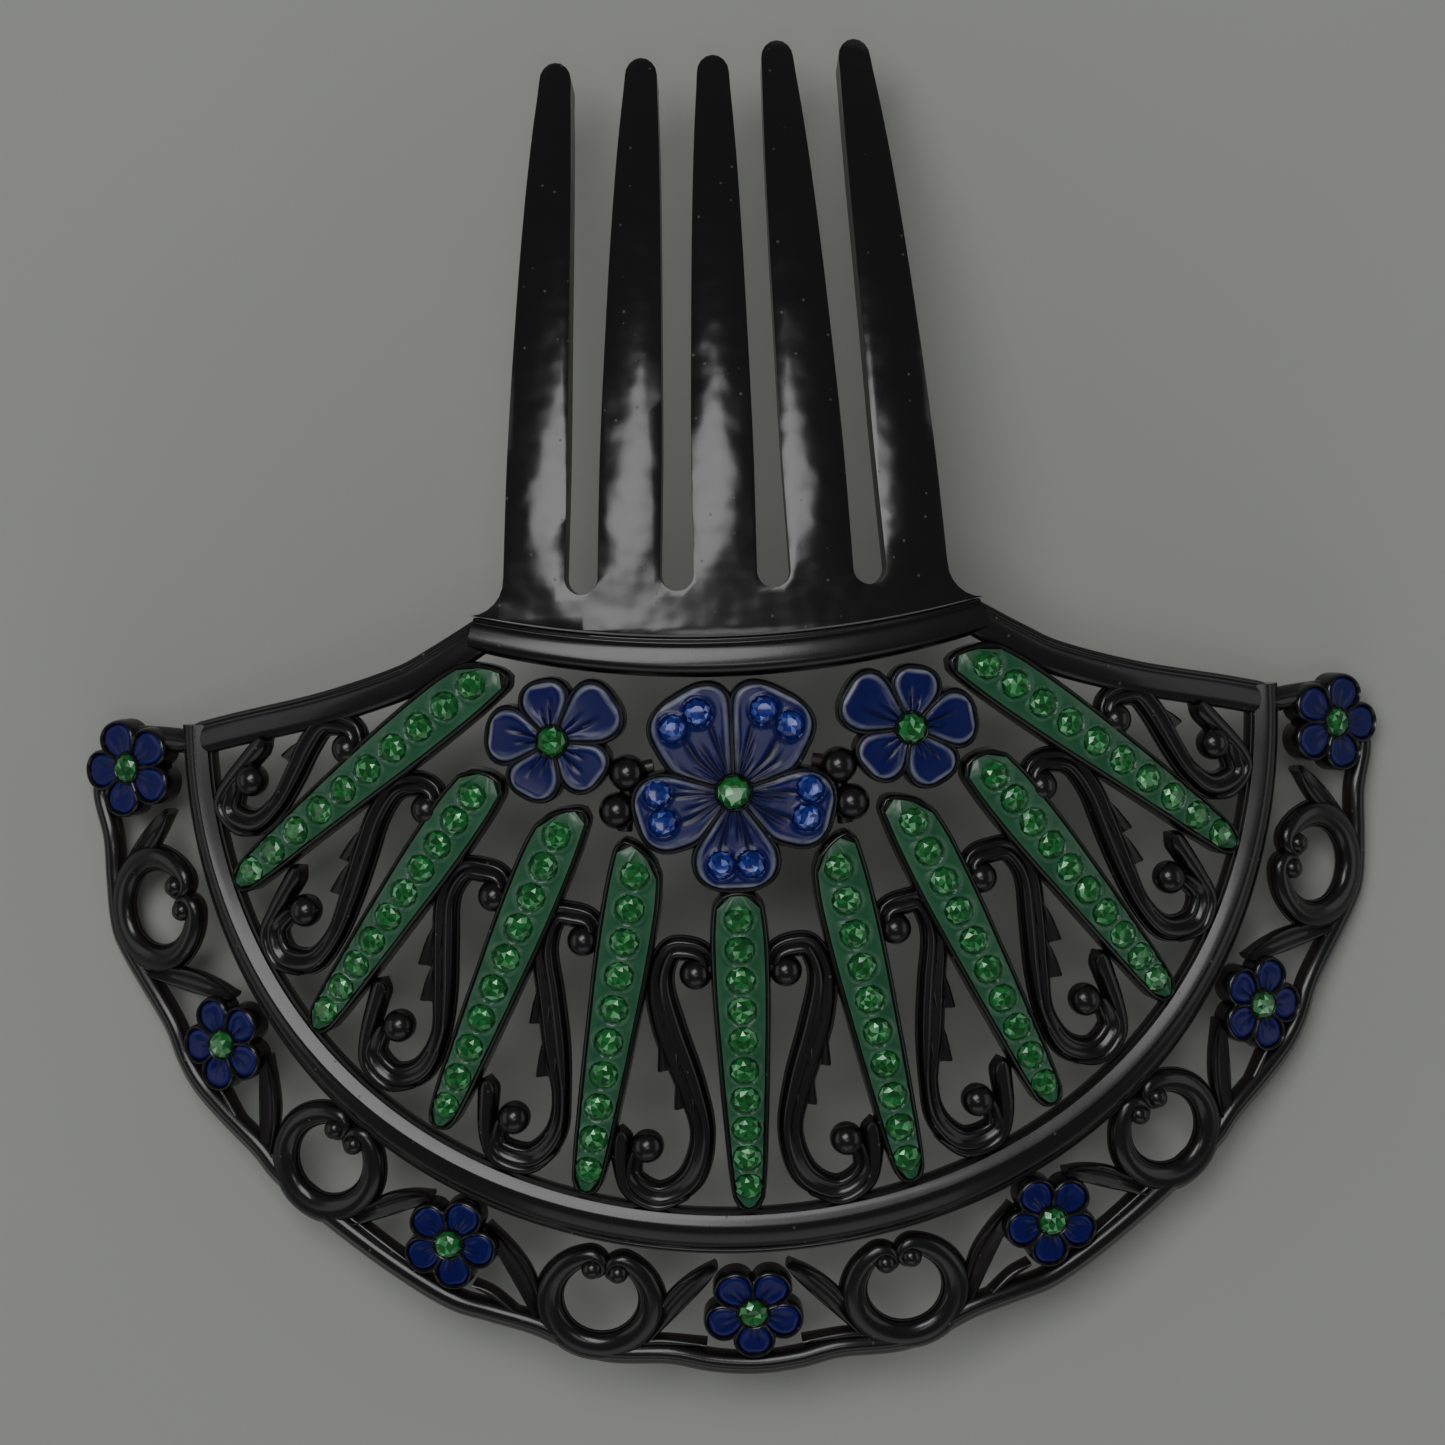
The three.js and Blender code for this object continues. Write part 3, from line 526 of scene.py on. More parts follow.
headerSizes = {
    "height": 4.6, "footRadius": 105, "steps": 60, "gap": 0.12,
    # from the foot: a rounded edge, the broad rib that leans to the tines, a fine groove and a lip
    "section": [
        (-0.97, 0), (-1, 0.25), (-1, 2.2), (-0.95, 2.6), (-0.86, 2.98), (-0.74, 3.28), (-0.6, 3.5),
        (-0.46, 3.61), (-0.3, 3.62), (-0.1, 3.58), (0.1, 3.52), (0.3, 3.45), (0.46, 3.38),
        (0.56, 3.28), (0.63, 3.1), (0.69, 3), (0.75, 3.02), (0.81, 3.14), (0.88, 3.2), (0.94, 3.1),
        (0.98, 2.9), (1, 2.6), (1, 0.25), (0.97, 0),
    ],
}


def headerFootAt(u):
    radius = headerSizes["footRadius"]
    return tinePlateSizes["seamV"] - headerSizes["height"] + radius - math.sqrt(radius ** 2 - u ** 2)


def makeHeader():
    bm = bmesh.new()
    steps = headerSizes["steps"]
    path = []
    half = []
    for k in range(steps + 1):
        u = seamHalf * (2 * k / steps - 1)
        top = seamAt(u) - headerSizes["gap"]
        foot = headerFootAt(u)
        path.append(Vector((u, (top + foot) / 2)))
        half.append((top - foot) / 2)
    sweep(bm, path, half, headerSizes["section"])
    finishMoulding("crownHeader", bm)


wingSizes = {
    "points": [(27.8, 9.55), (33, 6.7), (38, 4.5), (48, 2.0), (60, 0.1), (66.6, -1.0)],
    "half": [1.95, 2.0, 1.97, 1.95, 1.95, 1.95],
    # a bar with a fine raised line along its upper edge
    "section": [
        (-0.6, 0.3), (-0.9, 0.9), (-1, 2), (-0.93, 2.6), (-0.82, 2.78), (-0.6, 3.02), (-0.35, 3.14),
        (0, 3.18), (0.3, 3.1), (0.5, 2.95), (0.6, 2.84), (0.66, 2.84), (0.72, 2.98), (0.8, 3.04),
        (0.9, 2.98), (0.97, 2.8), (1, 2.3), (0.9, 0.9), (0.6, 0.3),
    ],
}


def makeWings():
    bm = bmesh.new()
    path, half = smoothRun(wingSizes["points"], wingSizes["half"], 0.8)
    sweep(bm, path, roundEnds(path, half, start=False, least=0.5), wingSizes["section"])
    mirrorOver(bm)
    finishMoulding("crownWings", bm)


bandSizes = {
    "centreV": -1.2, "innerAcross": 64.2, "innerDown": 57.2, "sideWidth": 3.8, "footWidth": 5.1,
    "ledge": 0.5, "steps": 200, "sideBevel": 1.15, "footBevel": 0.95, "sideSlope": 38, "footSlope": 27,
    "bevelStart": 0.5, "top": 3.68, "shoulder": 0.06, "outerLine": 0.62,
}
bandOver = math.radians(2)      # how far the band runs past level at each side


def bandPoint(grow, angle):
    across = (bandSizes["innerAcross"] + grow) * math.cos(angle)
    down = (bandSizes["innerDown"] + grow) * math.sin(angle)
    return Vector((across, bandSizes["centreV"] - down))


# how wide the band is, with its ledge; share is 0 at the sides and 1 at the foot
def bandWidth(share):
    return bandSizes["sideWidth"] + (bandSizes["footWidth"] - bandSizes["sideWidth"]) * share


# a thin ledge inside, a flat bevel that turns with the arch, the rounded body, a groove and a
# fine outer line
def bandSection(t):
    share = math.sin(-bandOver + (math.pi + 2 * bandOver) * t) ** 2
    width = bandWidth(share) + bandSizes["ledge"]
    bevel = bandSizes["sideBevel"] + (bandSizes["footBevel"] - bandSizes["sideBevel"]) * share
    slope = bandSizes["sideSlope"] + (bandSizes["footSlope"] - bandSizes["sideSlope"]) * share ** 3
    top = bandSizes["top"]
    edge = top - bandSizes["shoulder"]
    low = edge - bevel * math.tan(math.radians(slope))
    start = bandSizes["bevelStart"]
    finish = start + bevel
    body = width - bandSizes["outerLine"] - finish
    places = [
        (0.9, 0.2), (0.35, 0.8), (0, 2), (0.05, 2.42), (0.4, 2.42), (0.44, low - 0.05), (start, low),
        ((start + finish) / 2, (low + edge) / 2), (finish, edge), (finish + 0.12, top),
        (finish + body * 0.3, top - 0.02), (finish + body * 0.55, top - 0.12),
        (finish + body * 0.76, top - 0.36), (finish + body * 0.9, top - 0.72), (finish + body, 2.5),
        (width - 0.5, 2.38), (width - 0.38, 2.42), (width - 0.28, 2.56), (width - 0.12, 2.54),
        (width, 2), (width - 0.35, 0.8), (width - 0.9, 0.2),
    ]
    return [(2 * place / width - 1, height) for place, height in places]


def makeBand():
    bm = bmesh.new()
    path = []
    half = []
    for k in range(bandSizes["steps"] + 1):
        angle = -bandOver + (math.pi + 2 * bandOver) * k / bandSizes["steps"]
        inner = bandPoint(-bandSizes["ledge"], angle)
        outer = bandPoint(bandWidth(math.sin(angle) ** 2), angle)
        path.append((inner + outer) / 2)
        half.append((outer - inner).length / 2)
    sweep(bm, path, half, bandSection)
    finishMoulding("crownRimBand", bm, 30)


makeHeader()
makeWings()
makeBand()
print("header, wings and rim band made")

borderSizes = {
    "edgeHalf": 1.45,
    "edge": [
        (0, -78.15), (5, -77.65), (10, -76.45), (18, -75.9), (25.5, -72.4), (31, -70.6), (36, -68.9),
        (43.3, -64.2), (51.5, -58.1), (57.6, -53.3), (60.6, -49.9), (65.2, -45.8), (68.9, -42.2),
        (71.1, -38.8), (73.2, -34.2), (79.4, -26), (81.15, -22.5), (81.5, -17), (81.6, -12),
        (83.05, -6.6), (81.2, -3), (78, -0.6), (73, -0.6), (67, -1.2),
    ],
    # from outside: a low step, then the high round of the rib towards the rings
    "edgeSection": [
        (-0.5, 0.4), (-0.85, 0.9), (-1, 1.7), (-0.95, 2.1), (-0.86, 2.22), (-0.7, 2.42), (-0.5, 2.6),
        (-0.38, 2.68), (-0.28, 2.8), (-0.12, 3.02), (0.1, 3.14), (0.35, 3.12), (0.6, 2.95), (0.8, 2.65),
        (0.94, 2.25), (1, 1.7), (0.85, 0.9), (0.5, 0.4),
    ],
    "ringHole": 4.6, "ringSteps": 60,
    "ringHalf": [0.95, 1.15, 1.5, 1.75, 1.95, 2.0, 1.95, 1.75, 1.5, 1.15, 0.95],
    "rings": [(17.7, -68.7), (50.4, -51), (73.4, -20.6)],
    "curlRadius": 1.5, "curlHalf": 0.6, "curlGap": 22, "curlTurn": 200, "curlSteps": 14, "curlShrink": 0.4,
    "curlBall": 1.25, "curlTopW": 0.75, "curlDrop": 0.06,
    "stemHalf": [0.5, 1.15, 1.45, 1.1, 0.55],
    "stems": [
        [(4.2, -65), (8.4, -68.8), (13.6, -75.2)],
        [(30.8, -59.3), (27, -65.3), (24.6, -72.3)],
        [(37.5, -55.6), (42.5, -56.6), (49, -59.2)],
        [(58.5, -38.5), (58.5, -45), (59.4, -51.6)],
        [(62.8, -31.2), (69, -29.4), (77.3, -27.9)],
        [(71.2, -9.2), (75.2, -13.2), (80.6, -18)],
    ],
    # a leaf blade: two raised edges and a fold between them
    "leafSection": [
        (-0.4, 0.6), (-0.8, 1.1), (-1, 2), (-0.9, 2.55), (-0.74, 2.72), (-0.56, 2.62), (-0.3, 2.3),
        (0, 2.08), (0.3, 2.3), (0.56, 2.62), (0.74, 2.72), (0.9, 2.55), (1, 2), (0.8, 1.1), (0.4, 0.6),
    ],
    "webs": [[(5.5, -75.2), (11, -74.6), (14.4, -74.9)], [(27.5, -71), (30.5, -68.3), (33, -66.9)],
             [(40.5, -64.2), (44.5, -61.4), (48, -58.4)], [(61.5, -49), (63.6, -46), (65.4, -42.6)],
             [(69.6, -40.2), (71.6, -36), (75, -31)]],
}
ringSection = ribSection(3.2, ledge=0.16, ledgeHeight=1.9, fullness=0.7, steps=10)
leafSection = borderSizes["leafSection"]
budSection = ribSection(3.3, ledge=0.12, ledgeHeight=1.6, fullness=0.75, steps=8)
thinSection = ribSection(2.7, ledge=0.1, ledgeHeight=1.6, steps=6)


# where the band lies from a ring's centre, as an angle
def towardsBand(centre):
    return math.degrees(math.atan2(bandSizes["centreV"] - centre[1], -centre[0] * 0.8))


# a ring's path, with a curl by the band at each end, and the two places the curls turn round
def ringPath(centre):
    sizes = borderSizes
    middle = sizes["ringHole"] + sizes["ringHalf"][0]
    face = towardsBand(centre)
    start = face + sizes["curlGap"]
    around = []
    for k in range(sizes["ringSteps"] + 1):
        t = k / sizes["ringSteps"]
        radius = sizes["ringHole"] + catmull(sizes["ringHalf"], t)
        around.append(Vector(centre) + polar(start + (360 - 2 * sizes["curlGap"]) * t) * radius)
    curls, hubs = [], []
    for side in (1, -1):
        end = face + side * sizes["curlGap"]
        hub = Vector(centre) + polar(end) * (middle - sizes["curlRadius"])
        hubs.append(hub)
        turns = [k / sizes["curlSteps"] for k in range(1, sizes["curlSteps"] + 1)]
        curls.append([hub + polar(end - side * sizes["curlTurn"] * turn)
                      * sizes["curlRadius"] * (1 - sizes["curlShrink"] * turn) for turn in turns])
    return curls[0][::-1] + around + curls[1], hubs


def makeRings():
    bm = bmesh.new()
    for centre in borderSizes["rings"]:
        path, hubs = ringPath(centre)
        for hub in hubs:
            ball(bm, hub.x, hub.y, borderSizes["curlBall"], borderSizes["curlTopW"])
        last = len(path) - 1
        half = []
        rise = []
        for k in range(len(path)):
            inCurl = max(0, 1 - min(k, last - k) / borderSizes["curlSteps"])
            plain = catmull(borderSizes["ringHalf"], k / last)
            half.append(plain * (1 - inCurl) + borderSizes["curlHalf"] * inCurl)
            rise.append(1 - borderSizes["curlDrop"] * max(0, 1 - min(k, last - k) / 10))
        sweep(bm, path, roundEnds(path, half), ringSection, rise=rise)
    mirrorOver(bm)
    finishMoulding("crownRings", bm)


def makeBorder():
    bm = bmesh.new()
    mirrored = [(-u, v) for u, v in borderSizes["edge"][:0:-1]]
    points = mirrored + borderSizes["edge"]
    path, half = smoothRun(points, [borderSizes["edgeHalf"]] * len(points), 0.8)
    sweep(bm, path, roundEnds(path, half, least=0.4), borderSizes["edgeSection"])
    finishMoulding("crownEdgeRib", bm)
    bm = bmesh.new()
    for points in borderSizes["stems"]:
        path, half = smoothRun(points, borderSizes["stemHalf"], 0.5)
        sweep(bm, path, half, leafSection)
    for points in borderSizes["webs"]:
        path, half = smoothRun(points, [0.3, 0.6, 0.3], 0.6)
        sweep(bm, path, half, thinSection)
    mirrorOver(bm)
    finishMoulding("crownLeafStems", bm)


makeRings()
makeBorder()
print("border made")

scrollDesigns = [
    {
        "run": [(5.6, -27.2), (8, -27), (9.2, -30.5), (8.3, -36), (6.2, -42.5), (5, -48.5), (6.5, -53.8),
                (10.2, -55.8), (13.2, -53.6), (12.6, -49.8)],
        "half": [1.1, 1.4, 1.6, 1.9, 1.7, 1.4, 1.6, 1.5, 1.25, 0.9],
        "head": (5.2, -28.4), "ball": (11.4, -49.8, 1.95), "bud": (14.4, -48.9, 1.3),
        "leaves": [(8.8, -34, 9, -40.8), (7, -38.5, 7.3, -45.4)],
    },
    {
        "run": [(18.3, -22.6), (20.8, -22.4), (22.2, -26), (21.8, -31.5), (21.4, -37.5), (21.1, -43.5),
                (22, -48), (25, -50.8), (28.8, -49.4), (28.2, -45.8)],
        "half": [1.1, 1.4, 1.5, 1.6, 1.6, 1.1, 1.3, 1.6, 1.4, 0.9],
        "head": (17.8, -24.1), "ball": (26.8, -46, 1.95), "bud": (29.8, -42.6, 1.4),
        "leaves": [(22.4, -29, 23.6, -34.8), (22.2, -35, 23.1, -41.1)],
    },
    {
        "run": [(28.6, -17.2), (31.3, -16.9), (33.4, -19.8), (34, -25), (34.4, -31), (35.2, -36),
                (37.6, -40), (41.2, -40.8), (43.6, -38), (41.9, -34.6)],
        "half": [1.1, 1.4, 1.5, 1.6, 1.5, 1.2, 1.5, 1.6, 1.5, 1],
        "head": (28, -18.7), "ball": (40.2, -34.8, 1.95), "bud": (42.5, -30.6, 1.4),
        "leaves": [(34.6, -22, 36.6, -27.7), (35, -26.5, 36.6, -31.9)],
    },
    {
        "run": [(36.3, -7.2), (39.2, -7.4), (41.6, -10.4), (43.6, -15), (45.5, -19.5), (47.8, -24),
                (51, -27), (54.8, -26.4), (55.8, -23.2), (53.1, -20.9)],
        "half": [1.1, 1.4, 1.5, 1.6, 1.5, 1.3, 1.5, 1.6, 1.4, 1],
        "head": (35.6, -8.6), "ball": (51.6, -21.1, 1.95), "bud": (53, -17.3, 1.6),
        "leaves": [(42.6, -10.8, 46, -15.4), (44.4, -14.6, 47.4, -19.2)],
    },
    {
        "run": [(45.6, 0.1), (48.2, 0.1), (50.3, -2.2), (52.4, -5.6), (54.8, -8.8), (58, -10.7),
                (61.3, -9.2), (59.9, -5.9)],
        "half": [1.1, 1.4, 1.5, 1.4, 1.3, 1.5, 1.5, 1],
        "head": (45.2, -1.4), "ball": (58.2, -5.8, 1.95), "bud": (57, -2.1, 1.5),
        "leaves": [(50.2, -1.2, 53.2, -3.6)],
    },
]
scrollSizes = {
    "ballTopW": 0.88, "headTopW": 0.7, "headBall": 1.85, "grow": 1.08,
    "headCurl": [(-0.1, -1.2), (-1.5, -0.4), (-0.9, 1.1), (0.9, 1.75)], "headHalf": [0.9, 1.1, 1.3, 1.4],
    "leafHalf": [0.4, 1.15, 1.35], "leafInward": 0.45, "outerStep": 1.35,
    "outerAt": [0.7, 0.78, 0.86, 0.93], "outerHalf": [0.4, 0.8, 1.0, 1.2, 1.4, 1.35],
    # a high ridge on one side, a hollow and a low ridge on the other
    "section": [
        (-0.4, 0.5), (-0.8, 1), (-1, 1.85), (-0.93, 2.2), (-0.84, 2.2), (-0.8, 2.1), (-0.72, 2.5),
        (-0.58, 2.95), (-0.4, 3.15), (-0.2, 3.1), (-0.02, 2.85), (0.14, 2.62), (0.3, 2.7), (0.45, 2.84),
        (0.6, 2.78), (0.72, 2.5), (0.8, 2.12), (0.84, 2.2), (0.93, 2.2), (1, 1.85), (0.8, 1), (0.4, 0.5),
    ],
}


def makeScrolls():
    bm = bmesh.new()
    section = scrollSizes["section"]
    for design in scrollDesigns:
        # the head curls over and back under itself to a ball
        curl = [Vector(design["head"]) + Vector(step) for step in scrollSizes["headCurl"]]
        ball(bm, *curl[0], scrollSizes["headBall"], scrollSizes["headTopW"])
        widths = scrollSizes["headHalf"] + design["half"][1:]
        run = [Vector(point) for point in design["run"]]
        path, half = smoothRun(curl + run[1:], widths, 0.45)
        half = [value * scrollSizes["grow"] for value in half]
        sweep(bm, path, roundEnds(path, half), section)
        ball(bm, *design["ball"], scrollSizes["ballTopW"])
        # outside the bend a second rib runs on and swells into the bud
        outer = []
        for t in scrollSizes["outerAt"]:
            spot = catmull(run, t)
            outer.append(spot - heading(spot, catmull(run, t + 0.02))[1] * scrollSizes["outerStep"])
        bud = Vector(design["bud"][:2])
        outer += [bud, bud + (bud - outer[-1]).normalized() * design["bud"][2]]
        tail, tailHalf = smoothRun(outer, scrollSizes["outerHalf"], 0.4)
        sweep(bm, tail, roundEnds(tail, tailHalf), budSection)
        for fromU, fromV, toU, toV in design["leaves"]:
            start = Vector((fromU, fromV))
            finish = Vector((toU, toV))
            inward = -heading(start, finish)[1] * scrollSizes["leafInward"]
            points = [start + inward, start.lerp(finish, 0.5) + inward, finish + inward]
            leaf, leafHalf = smoothRun(points, scrollSizes["leafHalf"], 0.5)
            sweep(bm, leaf, leafHalf, leafSection)
    mirrorOver(bm)
    finishMoulding("crownScrolls", bm, 50)


makeScrolls()
print("scrolls made")

spokeDesigns = [
    {"inner": (0, -20.6), "outer": (0, -57.2), "slant": 0},
    {"inner": (10.8, -15.2), "outer": (18.6, -54.6), "slant": -1.7},
    {"inner": (18.8, -10.6), "outer": (35.6, -46.4), "slant": 1.9},
    {"inner": (27.8, -6.2), "outer": (50.6, -34.6), "slant": 0.8},
    {"inner": (26.8, 5.6), "outer": (60.2, -17.6), "slant": 2.2},
]
spokeSizes = {
    "half": 2.7, "taper": [0.84, 0.98, 1, 0.96, 0.88, 0.8, 0.7, 0.6, 0.46],
    "wall": 0.6, "floorW": -0.95, "enamelW": 0.12, "dome": 0.22, "innerRound": 1.5, "outerRound": 1.2,
    "stones": 10, "firstInset": 2.7, "lastInset": 2.6, "stoneRadius": 1.58, "stoneHeight": 0.85,
    "lipRadius": 1.8, "lipWidth": 0.2, "lipHeight": 0.2, "cupDepth": 0.3, "slantRun": 7, "rimHalf": 0.42,
    "gridAcross": 22, "gridAlong": 170, "seed": 7,
}
# the raised black rim round an enamel cell
rimSection = [
    (-0.1, 0.9), (-0.7, 1.3), (-1, 2.3), (-0.85, 2.9), (-0.55, 3.35), (-0.15, 3.56), (0.25, 3.5),
    (0.6, 3.2), (0.8, 2.8), (0.9, 2.3), (0.9, 1.2), (0.7, 0.9),
]
cellBack = backW + 0.95      # the back of the floor under an enamel cell


def spokeHalfAt(distance, length):
    half = spokeSizes["half"] * catmull(spokeSizes["taper"], distance / length)
    for gone, size in ((distance, spokeSizes["innerRound"]), (length - distance, spokeSizes["outerRound"])):
        if gone < size:
            half *= math.sqrt(max(1 - (1 - gone / size) ** 2, 0))
    return half


# how far a point aside of a spoke's middle line is moved along, where its inner end is cut askew
def slantAt(design, distance, aside):
    return design["slant"] * aside / spokeSizes["half"] * max(1 - distance / spokeSizes["slantRun"], 0)


# where a spoke starts, its length, and the ways along and across it
def spokeLine(design):
    inner, outer = Vector(design["inner"]), Vector(design["outer"])
    return inner, (outer - inner).length, *heading(inner, outer)


# the loop round a spoke, grown outwards
def spokeLoop(design, grow):
    inner, length, along, across = spokeLine(design)
    near = []
    far = []
    steps = 46
    for k in range(steps + 1):
        # stations crowd towards the two ends
        t = (1 - math.cos(math.pi * k / steps)) / 2
        distance = t * length
        half = spokeHalfAt(distance, length)
        end = (2 * t - 1) * grow
        push = grow * math.sqrt(max(1 - (2 * t - 1) ** 16, 0))
        spot = inner + along * (distance + (end if abs(2 * t - 1) > 0.97 else 0))
        near.append(spot + across * (half + push) + along * slantAt(design, distance, half))
        far.append(spot - across * (half + push) + along * slantAt(design, distance, -half))
    return near + far[::-1][1:-1]


def spokeStones(design):
    inner, _, along, _ = spokeLine(design)
    first = inner + along * spokeSizes["firstInset"]
    last = Vector(design["outer"]) - along * spokeSizes["lastInset"]
    count = spokeSizes["stones"]
    return [first.lerp(last, k / (count - 1)) for k in range(count)]


# a patch of surface over a flat floor: the shape gives each point's place, height and layer values
# from how far along (0 to 1) and aside (-1 to 1) it stands
def skin(bm, columns, rows, shape, bottom, layers=()):
    patch = bmesh.new()
    bmesh.ops.create_grid(patch, x_segments=columns, y_segments=rows, size=1)
    handles = [patch.verts.layers.float.new(name) for name in layers]
    for vert in patch.verts:
        place, height, values = shape((vert.co.y + 1) / 2, vert.co.x)
        vert.co = (place.x, place.y, height)
        for handle, value in zip(handles, values):
            vert[handle] = value
    made = bmesh.ops.extrude_face_region(patch, geom=patch.faces[:])["geom"]
    for vert in only(bmesh.types.BMVert, made):
        vert.co.z = bottom
    pour(bm, patch)


def spokeSkin(bm, design):
    inner, length, along, across = spokeLine(design)
    stones = spokeStones(design)

    def shape(s, t):
        distance = length * (1 - math.cos(math.pi * s)) / 2 if s < 0.04 or s > 0.96 else length * s
        half = max(spokeHalfAt(distance, length), 0.05)
        spot = inner + along * (distance + slantAt(design, distance, half * t)) + across * (half * t)
        height = spokeSizes["enamelW"] + spokeSizes["dome"] * (1 - t ** 2)
        # paler towards the inner end, a painted highlight, and a little paler along the two sides
        wearAndSheen = 0.5 * max(0, 1 - distance / 2) + 0.25 * abs(t) ** 6
        for stone in stones:
            away = (spot - stone).length
            lip = math.exp(-((away - spokeSizes["lipRadius"]) / spokeSizes["lipWidth"]) ** 2)
            height += spokeSizes["lipHeight"] * lip
            if away < spokeSizes["stoneRadius"]:
                height -= spokeSizes["cupDepth"]
            wearAndSheen += 0.3 * lip
        return spot, height, [wearAndSheen]

    skin(bm, spokeSizes["gridAcross"], spokeSizes["gridAlong"], shape, spokeSizes["floorW"] + 0.1, ["wearAndSheen"])


# one stone: a girdle, two rows of crown facets and a shallow fan over the table
def stone(bm, spot, radius, height, seat, dice):
    paintedGlint = bm.faces.layers.float.get("paintedGlint") or bm.faces.layers.float.new("paintedGlint")
    sides = 9
    turn = Matrix.Translation((spot.x, spot.y, seat)) @ Matrix.Rotation(dice.uniform(0, 6.28), 4, "Z")
    facesBefore = set(bm.faces)
    ring = bmesh.ops.create_circle(bm, cap_ends=True, segments=sides, radius=radius, matrix=turn)["verts"]
    edges = list(dict.fromkeys(edge for vert in ring for edge in vert.link_edges))
    level = 0
    size = 1
    for scale, rise, twist in ((1, 0.3, 0), (0.8, 0.72, 180 / sides), (0.52, 1, 180 / sides)):
        made = bmesh.ops.extrude_edge_only(bm, edges=edges)["geom"]
        edges = only(bmesh.types.BMEdge, made)
        step = Matrix.Translation((0, 0, (rise - level) * height))
        step = step @ Matrix.Rotation(math.radians(twist), 4, "Z")
        step = step @ Matrix.Diagonal((scale / size, scale / size, 1, 1))
        verts = only(bmesh.types.BMVert, made)
        bmesh.ops.transform(bm, matrix=turn @ step @ turn.inverted(), verts=verts)
        level = rise
        size = scale
    table = bmesh.ops.edgeloop_fill(bm, edges=edges)["faces"]
    bmesh.ops.poke(bm, faces=table, offset=0.04)
    made = [face for face in bm.faces if face not in facesBefore]
    bmesh.ops.triangulate(bm, faces=[face for face in made if face.is_valid and len(face.verts) == 4])
    # each new facet gets a random painted brightness that stands in for light off the foil
    for face in bm.faces:
        if face not in facesBefore:
            face[paintedGlint] = dice.random() ** 1.3


def spokeFrame(bm, design):
    loop = spokeLoop(design, spokeSizes["wall"] / 2)
    sweep(bm, loop, [spokeSizes["rimHalf"]] * len(loop), rimSection, closed=True)
    slab(bm, loop, cellBack, spokeSizes["floorW"])


# turns a finished right hand shape into a left hand one
def handed(side, *shapes):
    for bm in shapes if side == "left" else ():
        bmesh.ops.scale(bm, vec=(-1, 1, 1), verts=bm.verts[:])


def makeSpokes():
    frames = bmesh.new()
    for design in spokeDesigns[1:]:
        spokeFrame(frames, design)
    mirrorOver(frames)
    spokeFrame(frames, spokeDesigns[0])
    finishMoulding("crownSpokeFrames", frames, 50)
    dice = random.Random(spokeSizes["seed"])
    for index, design in enumerate(spokeDesigns):
        for side in ("right", "left") if index else ("middle",):
            label = f"{side}_{index}" if index else side
            enamel = bmesh.new()
            spokeSkin(enamel, design)
            stones = bmesh.new()
            for spot in spokeStones(design):
                seat = spokeSizes["enamelW"] + spokeSizes["dome"] - spokeSizes["cupDepth"]
                stone(stones, spot, spokeSizes["stoneRadius"], spokeSizes["stoneHeight"], seat, dice)
            handed(side, enamel, stones)
            finishPiece(f"enamelSpoke_{label}", enamel, green, [f"enamel_spoke_{label}"], 50)
            finishPiece(f"stoneRow_{label}", stones, greenGlass, [f"stone_row_{label}"], 5)


makeSpokes()
print("spokes made")

# petals are (angle, reach, half width) and each fills the wedge between its two dividing angles; pairs
# are where two blue stones sit on a petal, as (angle, distance from the hub)
flowerDesigns = {
    "centre": {
        "place": {"centre": (0, -9), "turn": 0, "stretch": 1}, "hub": 2.1, "septum": 0.42,
        "round": 3.7, "square": 2.7, "veins": 8,
        "petals": [(-90, 10.8, 4.6), (-15, 11.1, 4.2), (62, 12.3, 4.9), (118, 12.3, 4.9), (195, 11.1, 4.2)],
        "dividers": [(-126, -54), (-54, 18), (18, 90), (90, 162), (162, 234)],
        "pairs": [(-90, 8.1), (-10, 8.4), (58, 9.6), (122, 9.6), (190, 8.4)],
        "stone": (1.85, 1.15), "enamel": petalBlue, "grid": 44, "stoneNode": "stone_flower_",
    },
    "top": {
        "place": {"centre": (20.1, -2.6), "turn": 0, "stretch": 1}, "hub": 1.7, "septum": 0.36,
        "round": 2.7, "square": 2.6, "veins": 4,
        "petals": [(9, 7.3, 3.05), (82, 6.6, 2.7), (148, 8.2, 3.3), (220, 6.7, 2.9), (300, 6.7, 2.9)],
        "dividers": [(-25.5, 45.5), (45.5, 115), (115, 184), (184, 260), (260, 334.5)],
        "stone": (1.65, 1.05), "enamel": petalBlue, "grid": 32, "stoneNode": "stone_flower_",
    },
    "border": {
        "hub": 1.5, "septum": 0.3, "round": 2.1, "square": 2.3, "veins": 4,
        "petals": [(angle, 5.35, 2.05) for angle in (-90, -18, 54, 126, 198)],
        "dividers": [(angle - 36, angle + 36) for angle in (-90, -18, 54, 126, 198)],
        "stone": (1.7, 1.05), "enamel": borderBlue, "grid": 20, "stoneNode": "stone_",
    },
}
borderFlowers = [
    {"centre": (0, -70.7), "turn": 0, "stretch": 1},
    {"centre": (35.3, -61.2), "turn": -5, "stretch": 1},
    {"centre": (64, -36.8), "turn": 16, "stretch": 1},
    {"centre": (76.6, -3.9), "turn": 16, "stretch": 1.25},
]
